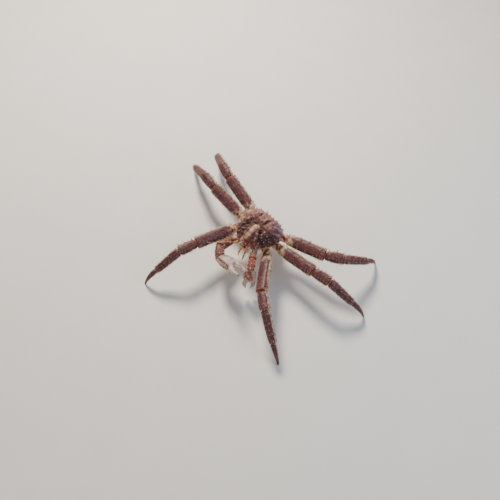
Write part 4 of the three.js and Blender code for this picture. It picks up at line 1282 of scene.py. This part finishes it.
def make_thorax():
    """Side walls and belly plates, with a raised collar round the root of each limb."""
    sides, rows = THORAX_GRID
    angle = ring_angles(sides)
    levels = np.array(THORAX_LEVELS, float)
    lowest = MARGIN - levels[-1, 0]
    depth = np.linspace(levels[0, 0], levels[-1, 0], rows)
    share = smooth_through(levels[:, 0], levels[:, 1:], depth)[:, 0]
    wall = [on_outline(angle, part, MARGIN - below) for part, below in zip(share, depth)]
    belly = [on_outline(angle, levels[-1, 1] * part, lowest - 1.5 * (1 - part)) for part in (0.85, 0.6, 0.3)]
    rings = np.array(wall + belly)
    turn = np.degrees(np.abs(np.arctan2(np.sin(angle), np.cos(angle))))
    low = smoothstep(MARGIN - 12, MARGIN - 30, rings[..., 2])
    seams = sum(bell(turn - at, 2.6) for at in THORAX_SEAMS) * low
    middle_line = bell(rings[..., 0], 2.5) * smoothstep(MARGIN - 50, MARGIN - 62, rings[..., 2])
    seams = np.clip(seams + middle_line, 0, 1)
    collar = np.zeros(seams.shape)
    places = [(side * x, y, MARGIN - LEG_ROOT_DEPTH, LEG_COLLAR) for _, side, (x, y), _, _ in LEGS]
    places += [(side * CLAW_ROOT[0], CLAW_ROOT[1], MARGIN - CLAW_ROOT_DEPTH, CLAW_COLLAR) for side in (-1, 1)]
    for x, y, z, radius in places:
        out = unit([x, y, 0])
        offset = rings - [x, y, z]
        away = np.linalg.norm(offset - dot(offset, out) * out, axis=-1)
        facing = dot(rings - [0, 0, z], out)[..., 0] > 0
        collar = np.maximum(collar, facing * bell(away - radius, 3.5))
    normal = grid_normals(rings, np.zeros((len(rings), 3)) + [0, 0, MARGIN - 34])
    rise = 2.6 * collar - 1.8 * seams + 0.4 * lumps(rings, 8.0, 4)
    form = Form()
    form.add_rings(rings + normal * rise[..., None], {"deep": 0.8 * seams, "grain": 0.6 * low},
                   np.array([0, 0, MARGIN - levels[0, 0]]), np.array([0, 0, lowest - 1.5]))
    body = make_piece("thorax", form, "underside")
    grow_granules("thorax_granules", [body], "underside", 2, 1.3)


def make_abdomen():
    """Folded flap of broad plates, each lapping over the next."""
    back, depth, half, thick = np.array(ABDOMEN, float).T
    centres = np.stack([np.zeros(len(back)), back, MARGIN - depth], -1)
    run = np.concatenate([[0], np.cumsum(np.linalg.norm(np.diff(centres, axis=0), axis=1))])
    limb = Limb(run / run[-1], centres, np.stack([half, thick, thick], -1), squareness=0.8, neck=0.0,
                rim=0.0, across=np.array([1.0, 0, 0]))
    grid_t, grid_a, rings = limb.grid(np.linspace(0, 1, 110), 72)
    plates = (grid_t * ABDOMEN_PLATES) % 1.0
    step = smoothstep(0.0, 0.08, plates) * (1 - 0.75 * plates)
    lobes = bell(np.abs(np.cos(grid_a)) - 0.62, 0.07)
    rise = 1.7 * step - 1.3 * lobes + 0.35 * lumps(rings, 6.0, 6)
    rings = rings + grid_normals(rings, rings.mean(axis=1)) * rise[..., None]
    form = Form()
    form.add_rings(rings, {
        "deep": np.clip(bell(plates, 0.06) + bell(plates - 1, 0.04) + 0.6 * lobes, 0, 0.9),
        "grain": np.full(rings.shape[:2], 0.8),
    }, rings[0].mean(axis=0), rings[-1].mean(axis=0))
    flap = make_piece("abdomen", form, "underside")
    grow_granules("abdomen_granules", [flap], "underside", 3, 1.15)


# Legs


def straight_limb(start, end, part, size, start_normal, end_normal, roll):
    profile = np.array(PROFILES[part], float)
    t = profile[:, :1]
    centres = start * (1 - t) + end * t
    return Limb(profile[:, 0], centres, profile[:, 1:] * size, start_normal, end_normal, roll)


def straight_limbs(parts, points, normals, size, roll):
    """Articles in a row, from joint to joint."""
    ends = zip(points, points[1:], normals, normals[1:])
    return {
        part: straight_limb(start, end, part, size, start_normal, end_normal, roll)
        for part, (start, end, start_normal, end_normal) in zip(parts, ends)
    }


def joint_normals(along):
    """Directions of the planes in which the articles of a limb meet."""
    return [unit(before + after) for before, after in zip(along, along[1:])]


def leg_joints(leg, merus_pitch):
    _, side, root, headings, size = leg
    points = [np.array([side * root[0], root[1], MARGIN - LEG_ROOT_DEPTH], float)]
    for heading, (part, reach) in zip(headings, LEG_LENGTHS.items()):
        pitch = LEG_PITCHES.get(part, merus_pitch)
        points.append(points[-1] + direction(side, heading, pitch) * reach * size)
    return points


def standing_joints(leg):
    """Joints of a leg whose merus is pitched so that the foot rests on the floor."""
    low, high = -30.0, 70.0
    for _ in range(40):
        middle = (low + high) / 2
        if leg_joints(leg, middle)[-1][2] > 0:
            high = middle
        else:
            low = middle
    return leg_joints(leg, (low + high) / 2)


def base_limb(root, knee, end, end_normal, size, roll):
    """Coxa and ischium, as one bent article."""
    coxa, ischium = knee - root, end - knee
    first, span = unit(coxa), np.linalg.norm(coxa)
    reach = [0.0, 0.6 * span, *(span + share * np.linalg.norm(ischium) for share in (0.12, 0.65, 1.0))]
    centres = [root, root + first * reach[1], knee + ischium * 0.12, knee + ischium * 0.65, end]
    profile = np.array(PROFILES["base"], float)
    return Limb(np.array(reach) / reach[-1], centres, profile[:, 1:] * size, first, end_normal, roll,
                neck=0.0, rim=0.06)


def dactylus_limb(start, foot, start_normal, size, roll):
    profile = np.array(PROFILES["dactylus"], float)
    along = unit(foot - start)
    above = np.cross(unit(np.cross(along, UP)), along)
    t = profile[:, :1]
    centres = start * (1 - t) + foot * t + above * 4 * DACTYLUS_BOW * t * (1 - t)
    return Limb(profile[:, 0], centres, profile[:, 1:] * size, start_normal, -UP, roll, rim=0.0)


def clouds_round(t, angle, stretch, size, salt):
    """Soft unevenness from -1 to 1 over an article, without a seam. Stretch is its length over its radius."""
    return lumps(np.stack([np.cos(angle), np.sin(angle), stretch * t], -1), size, salt)


def grain_mark(limb):
    """Granules stay off the soft joint and off the last of the rim."""
    def rule(t, angle):
        near, far = t * limb.length, (1 - t) * limb.length
        return smoothstep(5.0, 8.0, near) * smoothstep(0.5, 3.0, far)
    return rule


def merus_pale_mark(t, angle):
    """Cream patches near the root of the merus, and its lower face."""
    patchy = 0.55 + 1.3 * clouds_round(t, angle, 9, 0.55, 6)
    return np.clip(patchy * (1 - smoothstep(0.1, 0.32, t)) + smoothstep(0.75, 1.15, -np.sin(angle)), 0, 0.9)


# Marks of each article by place and angle. The root of a limb is orange between creamy streaks, with soft
# skin at its start and where coxa and ischium meet. The orange runs a little way up the merus and shows again
# at its far end.
BASE_MARKS = {
    "joint": lambda t, a: np.clip(bell(t - 0.44, 0.035) + (1 - smoothstep(0.05, 0.2, t)), 0, 1),
    "rust": lambda t, a: np.clip(0.3 + 0.5 * np.sin(3 * a + 9 * t), 0, 1),
    "pale": lambda t, a: np.clip(0.6 - 0.7 * np.sin(3 * a + 9 * t) - 0.4 * np.sin(a), 0, 1),
}
LEG_MARKS = {
    "base": BASE_MARKS,
    "merus": {
        "rust": lambda t, a: 0.5 * (1 - smoothstep(0.02, 0.14, t)) + 0.3 * smoothstep(0.92, 0.97, t),
        "pale": merus_pale_mark,
    },
}
DACTYLUS_MARKS = {
    "horn": lambda t, a: smoothstep(0.66, 0.86, t),
    "grain": lambda t, a: smoothstep(0.1, 0.16, t) * (1 - smoothstep(0.4, 0.6, t)),
    "tuft": lambda t, a: smoothstep(0.2, 0.3, t) * (1 - smoothstep(0.6, 0.8, t)) * bell(np.cos(a * 3), 0.35),
}


def make_articles(name, limbs, side, salt, marks, slot):
    """Shells of the articles of a limb, and the roots of their spines."""
    shells, spines = [], Roots()
    for i, (part, limb) in enumerate(limbs.items()):
        form, roots = Form(), article_spines(limb, part, side, salt + i)
        add_limb(form, limb, roots, salt + i, marks={"grain": grain_mark(limb), **marks.get(part, {})})
        spines.rows += roots.rows
        shells.append(make_piece(f"{name}_{part.replace('claw_', '')}", form, slot))
    return shells, spines


def make_leg(leg, number):
    name, side, _, _, size = leg
    points = standing_joints(leg)
    normals = joint_normals([unit(b - a) for a, b in zip(points, points[1:])][1:])
    roll = side * LEG_ROLL
    limbs = {
        "base": base_limb(*points[:3], normals[0], size, roll),
        **straight_limbs(("merus", "carpus", "propodus"), points[2:], normals, size, roll),
    }
    shells, spines = make_articles(name, limbs, side, 10 * number, LEG_MARKS, "leg")
    tip = dactylus_limb(*points[5:], normals[3], size, roll)
    shells.append(make_dactylus(f"{name}_dactylus", tip, number, spines, side))
    grow_spines(f"{name}_spines", spines, "leg")
    grow_granules(f"{name}_granules", shells, "leg", 10 + number, paleness=0.44)
    grow_bristles(f"{name}_bristles", shells[-1:], "leg", 20 + number, (0, 0, -0.6), 0.6)


def make_dactylus(name, limb, number, spines, side):
    """Last article: a curved horn, ridged along its sides, with a dark end and rows of short thorns."""
    form, roots = Form(), Roots()
    for row in DACTYLUS_ROWS:
        add_spine_row(roots, limb, side, row, 40 + number, DACTYLUS_SHAPE)
    spines.rows += roots.rows
    add_limb(form, limb, roots, 60 + number, 28, ("neck", "flat"), 0.7, DACTYLUS_MARKS)
    return make_piece(name, form, "leg")


# Claws


def add_ball(form, middle, radii, axes, marks=None, rows=9, sides=14):
    """Closed rounded knob with half sizes along three axes."""
    theta = np.linspace(0.12, math.pi - 0.12, rows)
    grid_t, grid_p = np.meshgrid(theta, ring_angles(sides), indexing="ij")
    local = np.stack([np.sin(grid_t) * np.cos(grid_p), np.sin(grid_t) * np.sin(grid_p), np.cos(grid_t)], -1)
    rings = middle + (local * radii) @ np.array(axes)
    pole = radii[2] * np.array(axes[2])
    values = {name: np.full(rings.shape[:2], value) for name, value in (marks or {}).items()}
    form.add_rings(rings, values, middle + pole, middle - pole)


def add_teeth(form, limb, sign, size):
    """Blunt knobs along the biting edge, largest near the root."""
    for i in range(TEETH["count"]):
        t = np.array([TEETH["first"] + TEETH["step"] * i])
        middle = limb.point(t, np.array([math.radians(-90 * sign)]))[0]
        along, across, above = (axis[0] for axis in limb.axes(t))
        radius = size * (TEETH["radius"] - TEETH["shrink"] * i) * (1 + 0.15 * vary(i, sign))
        add_ball(form, middle, (radius, radius * 1.25, radius * 1.1), (across, along, above), {"pale": 1.0})


def add_finger(form, root, along, above, across, reach, lean, sign, size, salt, cap, marks):
    """One finger of a claw, arched towards the other and hooked at its tip, with its teeth."""
    out = along * math.cos(lean) + above * sign * math.sin(lean)
    t = np.linspace(0, 1, 9)
    places, shares = zip(*FINGER_TAPER)
    share = smooth_through(places, np.array(shares)[:, None], t)
    arch = FINGER["hook"] * size * (np.sin(math.pi * np.minimum(t * 1.1, 1)) - 0.7 * t * t)
    centres = root + out * (reach * t)[:, None] + above * (sign * arch)[:, None]
    half = share * np.array([[FINGER["across"], FINGER["height"], FINGER["height"]]]) * size
    limb = Limb(t, centres, half, along, rim=0.0, neck=0.0, across=across)
    add_limb(form, limb, Roots(), salt, 30, (cap, "round"), 0.5, marks)
    add_teeth(form, limb, sign, size)


FINGER_MARKS = {
    "pale": lambda t, a: np.clip(0.7 + 0.6 * smoothstep(0.05, 0.4, t), 0, 1),
    "horn": lambda t, a: 0.85 * smoothstep(0.93, 0.98, t),
    "tuft": lambda t, a: bell(np.cos(a * 2), 0.4) * smoothstep(0.15, 0.3, t) * (1 - smoothstep(0.75, 0.9, t)),
}
FIXED_FINGER_MARKS = {
    **FINGER_MARKS, "pale": lambda t, a: 0.62 + 0.22 * np.sin(11 * t + 2 * a) * (1 - 0.6 * t),
}


def make_fused(name, form, slot):
    """One skin over overlapping forms, with their marks carried over from the nearest points."""
    rough = object_from_form(f"{name}_rough", form, slot)
    remesh = rough.modifiers.new("Remesh", "REMESH")
    remesh.mode, remesh.voxel_size = "VOXEL", HAND_SKIN["voxel"] * MM
    smooth = rough.modifiers.new("Smooth", "SMOOTH")
    smooth.iterations, smooth.factor = HAND_SKIN["rounds"], 0.5
    piece = baked(rough, name)
    source = to_frame(np.concatenate(form.points))
    tree = kdtree.KDTree(len(source))
    for i, point in enumerate(source):
        tree.insert(point, i)
    tree.balance()
    nearest = [tree.find_n(vertex.co, HAND_SKIN["nearest"]) for vertex in piece.data.vertices]
    index = np.array([[i for _, i, _ in found] for found in nearest])
    share = 1 / (np.array([[away for _, _, away in found] for found in nearest]) + HAND_SKIN["blend"] * MM)
    share /= share.sum(axis=1, keepdims=True)
    for mark, values in form.marks.items():
        write_mark(piece.data, mark, np.sum(np.concatenate(values)[index] * share, axis=1))
    piece.data.shade_smooth()
    piece.data.materials.clear()
    piece.data.materials.append(finish(slot))
    return dress(piece, slot, name)


def hand_pale_mark(side, t, angle):
    """The right hand is white on its inner face, the left hand along its lower edge and at its end."""
    if side < 0:
        inner = smoothstep(0.05, 0.6, 0.5 * t - np.cos(angle) - 0.35 * np.sin(angle) - 0.25)
        return inner * np.clip(0.85 + 0.9 * clouds_round(t, angle, 2.5, 0.35, 7), 0, 1)
    mottling = 0.4 + 0.8 * clouds_round(t, angle, 2.5, 0.4, 5)
    lower = mottling + 1.1 * bell(np.sin(angle) + 1, 0.45)
    return smoothstep(0.15, 1.05, lower + 0.9 * smoothstep(0.72, 1.0, t))


def make_hand(claw, points, reach, wrist, spines):
    """Palm with its fixed finger in one shell, and the movable finger."""
    name, side, size, _, _, roll, gape = claw
    palm = straight_limb(points[3], points[4], "palm", size, wrist, reach, roll)
    _, across, above = (axis[0] for axis in palm.axes(np.array([0.5])))
    roots = article_spines(palm, "palm", side, 72)
    spines.rows += roots.rows
    span, sunk = CLAW_LENGTHS["finger"] * size, FINGER["sunk"]
    form = Form()
    add_limb(form, palm, roots, 80 + side, 44, ("neck", "round_end"), marks={
        "pale": lambda t, a: hand_pale_mark(side, t, a),
        "rust": lambda t, a: np.full(t.shape, 0.9 if side > 0 else 0.15),
        "grain": grain_mark(palm),
    })
    root = points[4] - above * FINGER["rootBelow"] * size - reach * sunk
    add_finger(form, root, reach, above, across, span + sunk, 0, -1, size, 90 + side, "flat",
               FIXED_FINGER_MARKS)
    hand = make_fused(f"{name}_palm", form, "claw")
    form = Form()
    root = points[4] + above * FINGER["rootAbove"] * size
    add_finger(form, root, reach, above, across, span, math.radians(gape), 1, size, 95 + side, "round_end",
               FINGER_MARKS)
    return [hand, make_fused(f"{name}_finger", form, "claw")]


def make_claw(claw, number):
    name, side, size, headings, pitches, _, _ = claw
    along = [direction(side, heading, pitch) for heading, pitch in zip(headings, pitches)]
    points = [np.array([side * CLAW_ROOT[0], CLAW_ROOT[1], MARGIN - CLAW_ROOT_DEPTH], float)]
    for step, span in zip(along, CLAW_LENGTHS.values()):
        points.append(points[-1] + step * (span * size))
    normals = joint_normals(along)
    bend = points[0] + CLAW_BEND * (points[1] - points[0])
    limbs = {
        "base": base_limb(points[0], bend, points[1], normals[0], size * CLAW_BASE_SHARE, 0),
        **straight_limbs(("claw_merus", "claw_carpus"), points[1:], normals, size, 0),
    }
    arm = {
        "rust": lambda t, a: np.full(t.shape, 0.75 if side > 0 else 0.1),
        "pale": lambda t, a: 0.4 * smoothstep(0.6, 1.0, -np.sin(a)),
        # A faint band of the same cream edge and painted highlight along the top face.
        "crest": lambda t, a: 0.25 * bell(np.sin(a) - 1, 0.1),
    }
    marks = {"base": BASE_MARKS, "claw_merus": arm, "claw_carpus": arm}
    shells, spines = make_articles(name, limbs, side, 69, marks, "claw")
    shells += make_hand(claw, points, along[3], normals[2], spines)
    grow_spines(f"{name}_spines", spines, "claw")
    grow_granules(f"{name}_granules", shells, "claw", 30 + number, 0.95)
    grow_bristles(f"{name}_bristles", shells[-2:], "claw", 40 + number, (0, 0, 0), 0.8)


# Head


def head_root(part, side):
    return np.array([side * part["root"][0], part["root"][1], MARGIN - part["depth"]], float)


def curved_centres(part, root, side, reach, steps):
    """Points on a line whose heading and pitch turn evenly from the first to the last value."""
    points = [root]
    for i in range(steps):
        share = (i + 0.5) / steps
        turns = (part["headings"], part["pitches"])
        heading, pitch = (first + (last - first) * share for first, last in turns)
        points.append(points[-1] + direction(side, heading, pitch) * reach / steps)
    return np.array(points)


def tapered(centres, radius_at):
    t = np.linspace(0, 1, len(centres))
    radius = np.array([radius_at(x) for x in t])
    return Limb(t, centres, np.stack([radius] * 3, -1), squareness=1.0, neck=0.0, rim=0.0)


def taper(first, last):
    return lambda t: first + (last - first) * t


def ringed_tube(form, limb, rings, depth, sides=14, per_ring=5):
    """Tube made of short articles, each a little wider at its far end."""
    grid_t, _, points = limb.grid(np.linspace(0, 1, rings * per_ring + 1), sides)
    middles = points.mean(axis=1)
    phase = (grid_t * rings) % 1.0
    from_joint = np.minimum(phase, 1 - phase)
    waist = 1 - depth * bell(from_joint, 0.16)
    points = middles[:, None] + (points - middles[:, None]) * waist[..., None]
    marks = {"deep": 0.8 * bell(from_joint, 0.14)}
    form.add_rings(points, marks, points[0].mean(axis=0), points[-1].mean(axis=0))


def make_eye(side, label):
    root, gaze = head_root(EYE, side), direction(side, EYE["heading"], EYE["pitch"])
    across = unit(np.cross(gaze, UP))
    axes = (across, np.cross(across, gaze), gaze)
    ball, stalk = Form(), Form()
    radii = (EYE["ball"], EYE["ball"] * 1.12, EYE["length"] * EYE["ball_share"])
    add_ball(ball, root + gaze * EYE["length"] * EYE["ball_place"], radii, axes, rows=22, sides=32)
    make_piece(f"eye_{label}", ball, "eye")
    centres = root + gaze * (EYE["length"] * np.linspace(0, EYE["stalk_share"], 6))[:, None]
    ringed_tube(stalk, tapered(centres, lambda t: EYE["stalk"] + EYE["flare"] * t ** 3), 3, 0.1, sides=20)
    dress(object_from_form(f"eye_stalk_{label}", stalk, "mouthparts"), "mouthparts")


def make_antenna(side, label):
    """Outer feeler: a thorny peduncle and a long whip."""
    root, form, thorns = head_root(ANTENNA, side), Form(), Roots()
    straight = direction(side, ANTENNA["headings"][0], ANTENNA["pitch"])
    centres = root + straight * np.linspace(0, ANTENNA["peduncle"], 5)[:, None]
    ringed_tube(form, tapered(centres, taper(ANTENNA["width"], ANTENNA["wrist"])), 4, 0.16, 18, 9)
    feeler_root = root + straight * (ANTENNA["peduncle"] - ANTENNA["overlap"])
    path = curved_centres(ANTENNA, feeler_root, side, ANTENNA["feeler"], 24)
    ringed_tube(form, tapered(path, taper(ANTENNA["radius"], ANTENNA["tip"])), 62, 0.14, 8, 4)
    make_piece(f"antenna_{label}", form, "mouthparts")
    # The thorns are rooted a little below the skin.
    core, thorn = tapered(centres, lambda t: 3.6 - 1.2 * t), ANTENNA_THORNS
    for i in range(thorn["count"]):
        turn = GOLDEN_ANGLE * i + 20 * vary(i, side)
        base, along, outward = spine_frame(core, thorn["first"] + thorn["step"] * i, turn)
        size = thorn["length"] + thorn["variation"] * vary(i + 3, side)
        thorns.add(base, outward + thorn["lean"] * along, size, thorn["radius"])
    grow_spines(f"antenna_spines_{label}", thorns, "mouthparts")


def make_antennule(side, label):
    """Short inner feeler: a ringed tube that tapers to a thin end."""
    path = curved_centres(ANTENNULE, head_root(ANTENNULE, side), side, ANTENNULE["length"], 12)
    form = Form()
    ringed_tube(form, tapered(path, taper(ANTENNULE["radius"], ANTENNULE["tip"])), 9, 0.18, 12, 6)
    make_piece(f"antennule_{label}", form, "mouthparts")


def make_maxilliped(side, label):
    """Outer mouthpart: a small jointed limb, hairy on its inner side."""
    path = curved_centres(MAXILLIPED, head_root(MAXILLIPED, side), side, MAXILLIPED["length"], 16)
    radius, thin, swell, sides = (MAXILLIPED[key] for key in ("radius", "taper", "swell", "sides"))
    limb = tapered(path, lambda t: radius * (1 - thin * t) * (1 + swell * math.cos(6 * math.pi * t)))
    form = Form()
    ringed_tube(form, limb, 5, 0.22, sides, 12)
    piece = object_from_form(f"maxilliped_{label}", form, "mouthparts")
    around = bell(ring_angles(sides) - math.pi * (side > 0), 1.1)
    rings = (len(piece.data.vertices) - 2) // sides
    write_mark(piece.data, "tuft", [*np.tile(around, rings), 0.0, 0.0])
    dress(piece, "mouthparts", f"maxilliped_{label}")
    grow_bristles(f"maxilliped_bristles_{label}", [piece], "mouthparts", 50 + side, (0.0, -0.3, -0.8), 1.2)


# Stage


def make_floor():
    corners = [(-FLOOR, -FLOOR, 0), (FLOOR, -FLOOR, 0), (FLOOR, FLOOR, 0), (-FLOOR, FLOOR, 0)]
    mesh = bpy.data.meshes.new("floor")
    mesh.from_pydata(corners, [], [(0, 1, 2, 3)])
    mesh.materials.append(finish("floor"))
    new_object("floor", mesh)


def make_light(name, place, target, size, power, tone):
    light = bpy.data.lights.new(name, "AREA")
    light.shape, light.size, light.energy, light.color = "DISK", size, power, linear(tone)
    obj = new_object(name, light)
    obj.location = place
    obj.rotation_euler = (target - Vector(place)).to_track_quat("-Z", "Y").to_euler()


def make_lights():
    middle = Vector(to_frame(CARAPACE_MIDDLE)[0])
    make_light("key", (-2.0, 1.1, 2.5), middle, 0.8, 165, "#fff3e4")
    make_light("fill", (1.9, 0.9, 1.8), middle, 1.6, 26, "#d6e2ff")
    make_light("front", (0.9, -2.0, 2.2), middle, 1.8, 12, "#fff0e2")
    world = bpy.data.worlds.new("studio")
    world.use_nodes = True
    background = world.node_tree.nodes["Background"]
    feed(world.node_tree, background, {"Color": rgba(linear("#dfe4ea")), "Strength": 0.28})
    bpy.context.scene.world = world


def make_camera():
    """Camera from the photo's side, aimed so that the carapace falls where the photo has it."""
    middle = Vector(to_frame(CARAPACE_MIDDLE)[0])
    back = Vector(direction(1, CAMERA["turn"], CAMERA["height"]))
    right = Vector((0, 0, 1)).cross(back).normalized()
    up = back.cross(right)
    distance = CAMERA["distance"] * MM
    per_pixel = distance / CAMERA["focal"]
    across = (CARAPACE_IN_PICTURE[0] - PICTURE / 2) * per_pixel
    above = (PICTURE / 2 - CARAPACE_IN_PICTURE[1]) * per_pixel
    aim = middle - right * across - up * above
    camera = bpy.data.cameras.new("camera")
    camera.sensor_width = CAMERA["sensor"]
    camera.lens = CAMERA["sensor"] * CAMERA["focal"] / PICTURE
    camera.clip_end = 30.0
    obj = new_object("camera", camera)
    turned = Matrix((right, up, back)).transposed().to_4x4()
    obj.matrix_world = Matrix.Translation(aim + back * distance) @ turned
    bpy.context.scene.camera = obj


# Operators


class CRAB_OT_carapace(bpy.types.Operator):
    """Make the carapace with its spines and granules"""
    bl_idname = "crab.carapace"
    bl_label = "Carapace"

    def execute(self, context):
        make_carapace()
        return {"FINISHED"}


class CRAB_OT_body(bpy.types.Operator):
    """Make the thorax and the folded abdomen"""
    bl_idname = "crab.body"
    bl_label = "Thorax and abdomen"

    def execute(self, context):
        make_thorax()
        make_abdomen()
        return {"FINISHED"}


class CRAB_OT_legs(bpy.types.Operator):
    """Make the six walking legs"""
    bl_idname = "crab.legs"
    bl_label = "Walking legs"

    def execute(self, context):
        for number, leg in enumerate(LEGS):
            make_leg(leg, number)
        return {"FINISHED"}


class CRAB_OT_claws(bpy.types.Operator):
    """Make the two claws"""
    bl_idname = "crab.claws"
    bl_label = "Claws"

    def execute(self, context):
        for number, claw in enumerate(CLAWS):
            make_claw(claw, number)
        return {"FINISHED"}


class CRAB_OT_head(bpy.types.Operator):
    """Make the eyes, feelers and mouthparts"""
    bl_idname = "crab.head"
    bl_label = "Eyes, feelers and mouthparts"

    def execute(self, context):
        for side, label in ((1, "left"), (-1, "right")):
            make_eye(side, label)
            make_antenna(side, label)
            make_antennule(side, label)
            make_maxilliped(side, label)
        return {"FINISHED"}


class CRAB_OT_stage(bpy.types.Operator):
    """Make the floor, the lights and the camera"""
    bl_idname = "crab.stage"
    bl_label = "Stage"

    def execute(self, context):
        make_floor()
        make_lights()
        make_camera()
        return {"FINISHED"}


class CRAB_PT_panel(bpy.types.Panel):
    """Steps of the model, and its sizes and colours"""
    bl_idname = "CRAB_PT_panel"
    bl_label = "Red king crab"
    bl_space_type = "VIEW_3D"
    bl_region_type = "UI"
    bl_category = "Crab"

    def draw(self, context):
        for operator in OPERATORS:
            self.layout.operator(operator.bl_idname)
        for group in (context.scene.crab_sizes, context.scene.crab_colours):
            for name in group.bl_rna.properties.keys():
                if name not in ("rna_type", "name"):
                    self.layout.prop(group, name)


OPERATORS = (CRAB_OT_stage, CRAB_OT_carapace, CRAB_OT_body, CRAB_OT_legs, CRAB_OT_claws, CRAB_OT_head)
CLASSES = (CrabSizes, CrabColours, *OPERATORS, CRAB_PT_panel)


def register():
    for cls in CLASSES:
        bpy.utils.register_class(cls)
    bpy.types.Scene.crab_sizes = PointerProperty(type=CrabSizes)
    bpy.types.Scene.crab_colours = PointerProperty(type=CrabColours)


def unregister():
    del bpy.types.Scene.crab_colours
    del bpy.types.Scene.crab_sizes
    for cls in reversed(CLASSES):
        bpy.utils.unregister_class(cls)


def main():
    register()
    bpy.ops.crab.stage()
    bpy.ops.crab.carapace()
    bpy.ops.crab.body()
    bpy.ops.crab.legs()
    bpy.ops.crab.claws()
    bpy.ops.crab.head()
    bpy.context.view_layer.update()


if __name__ == "__main__":
    main()
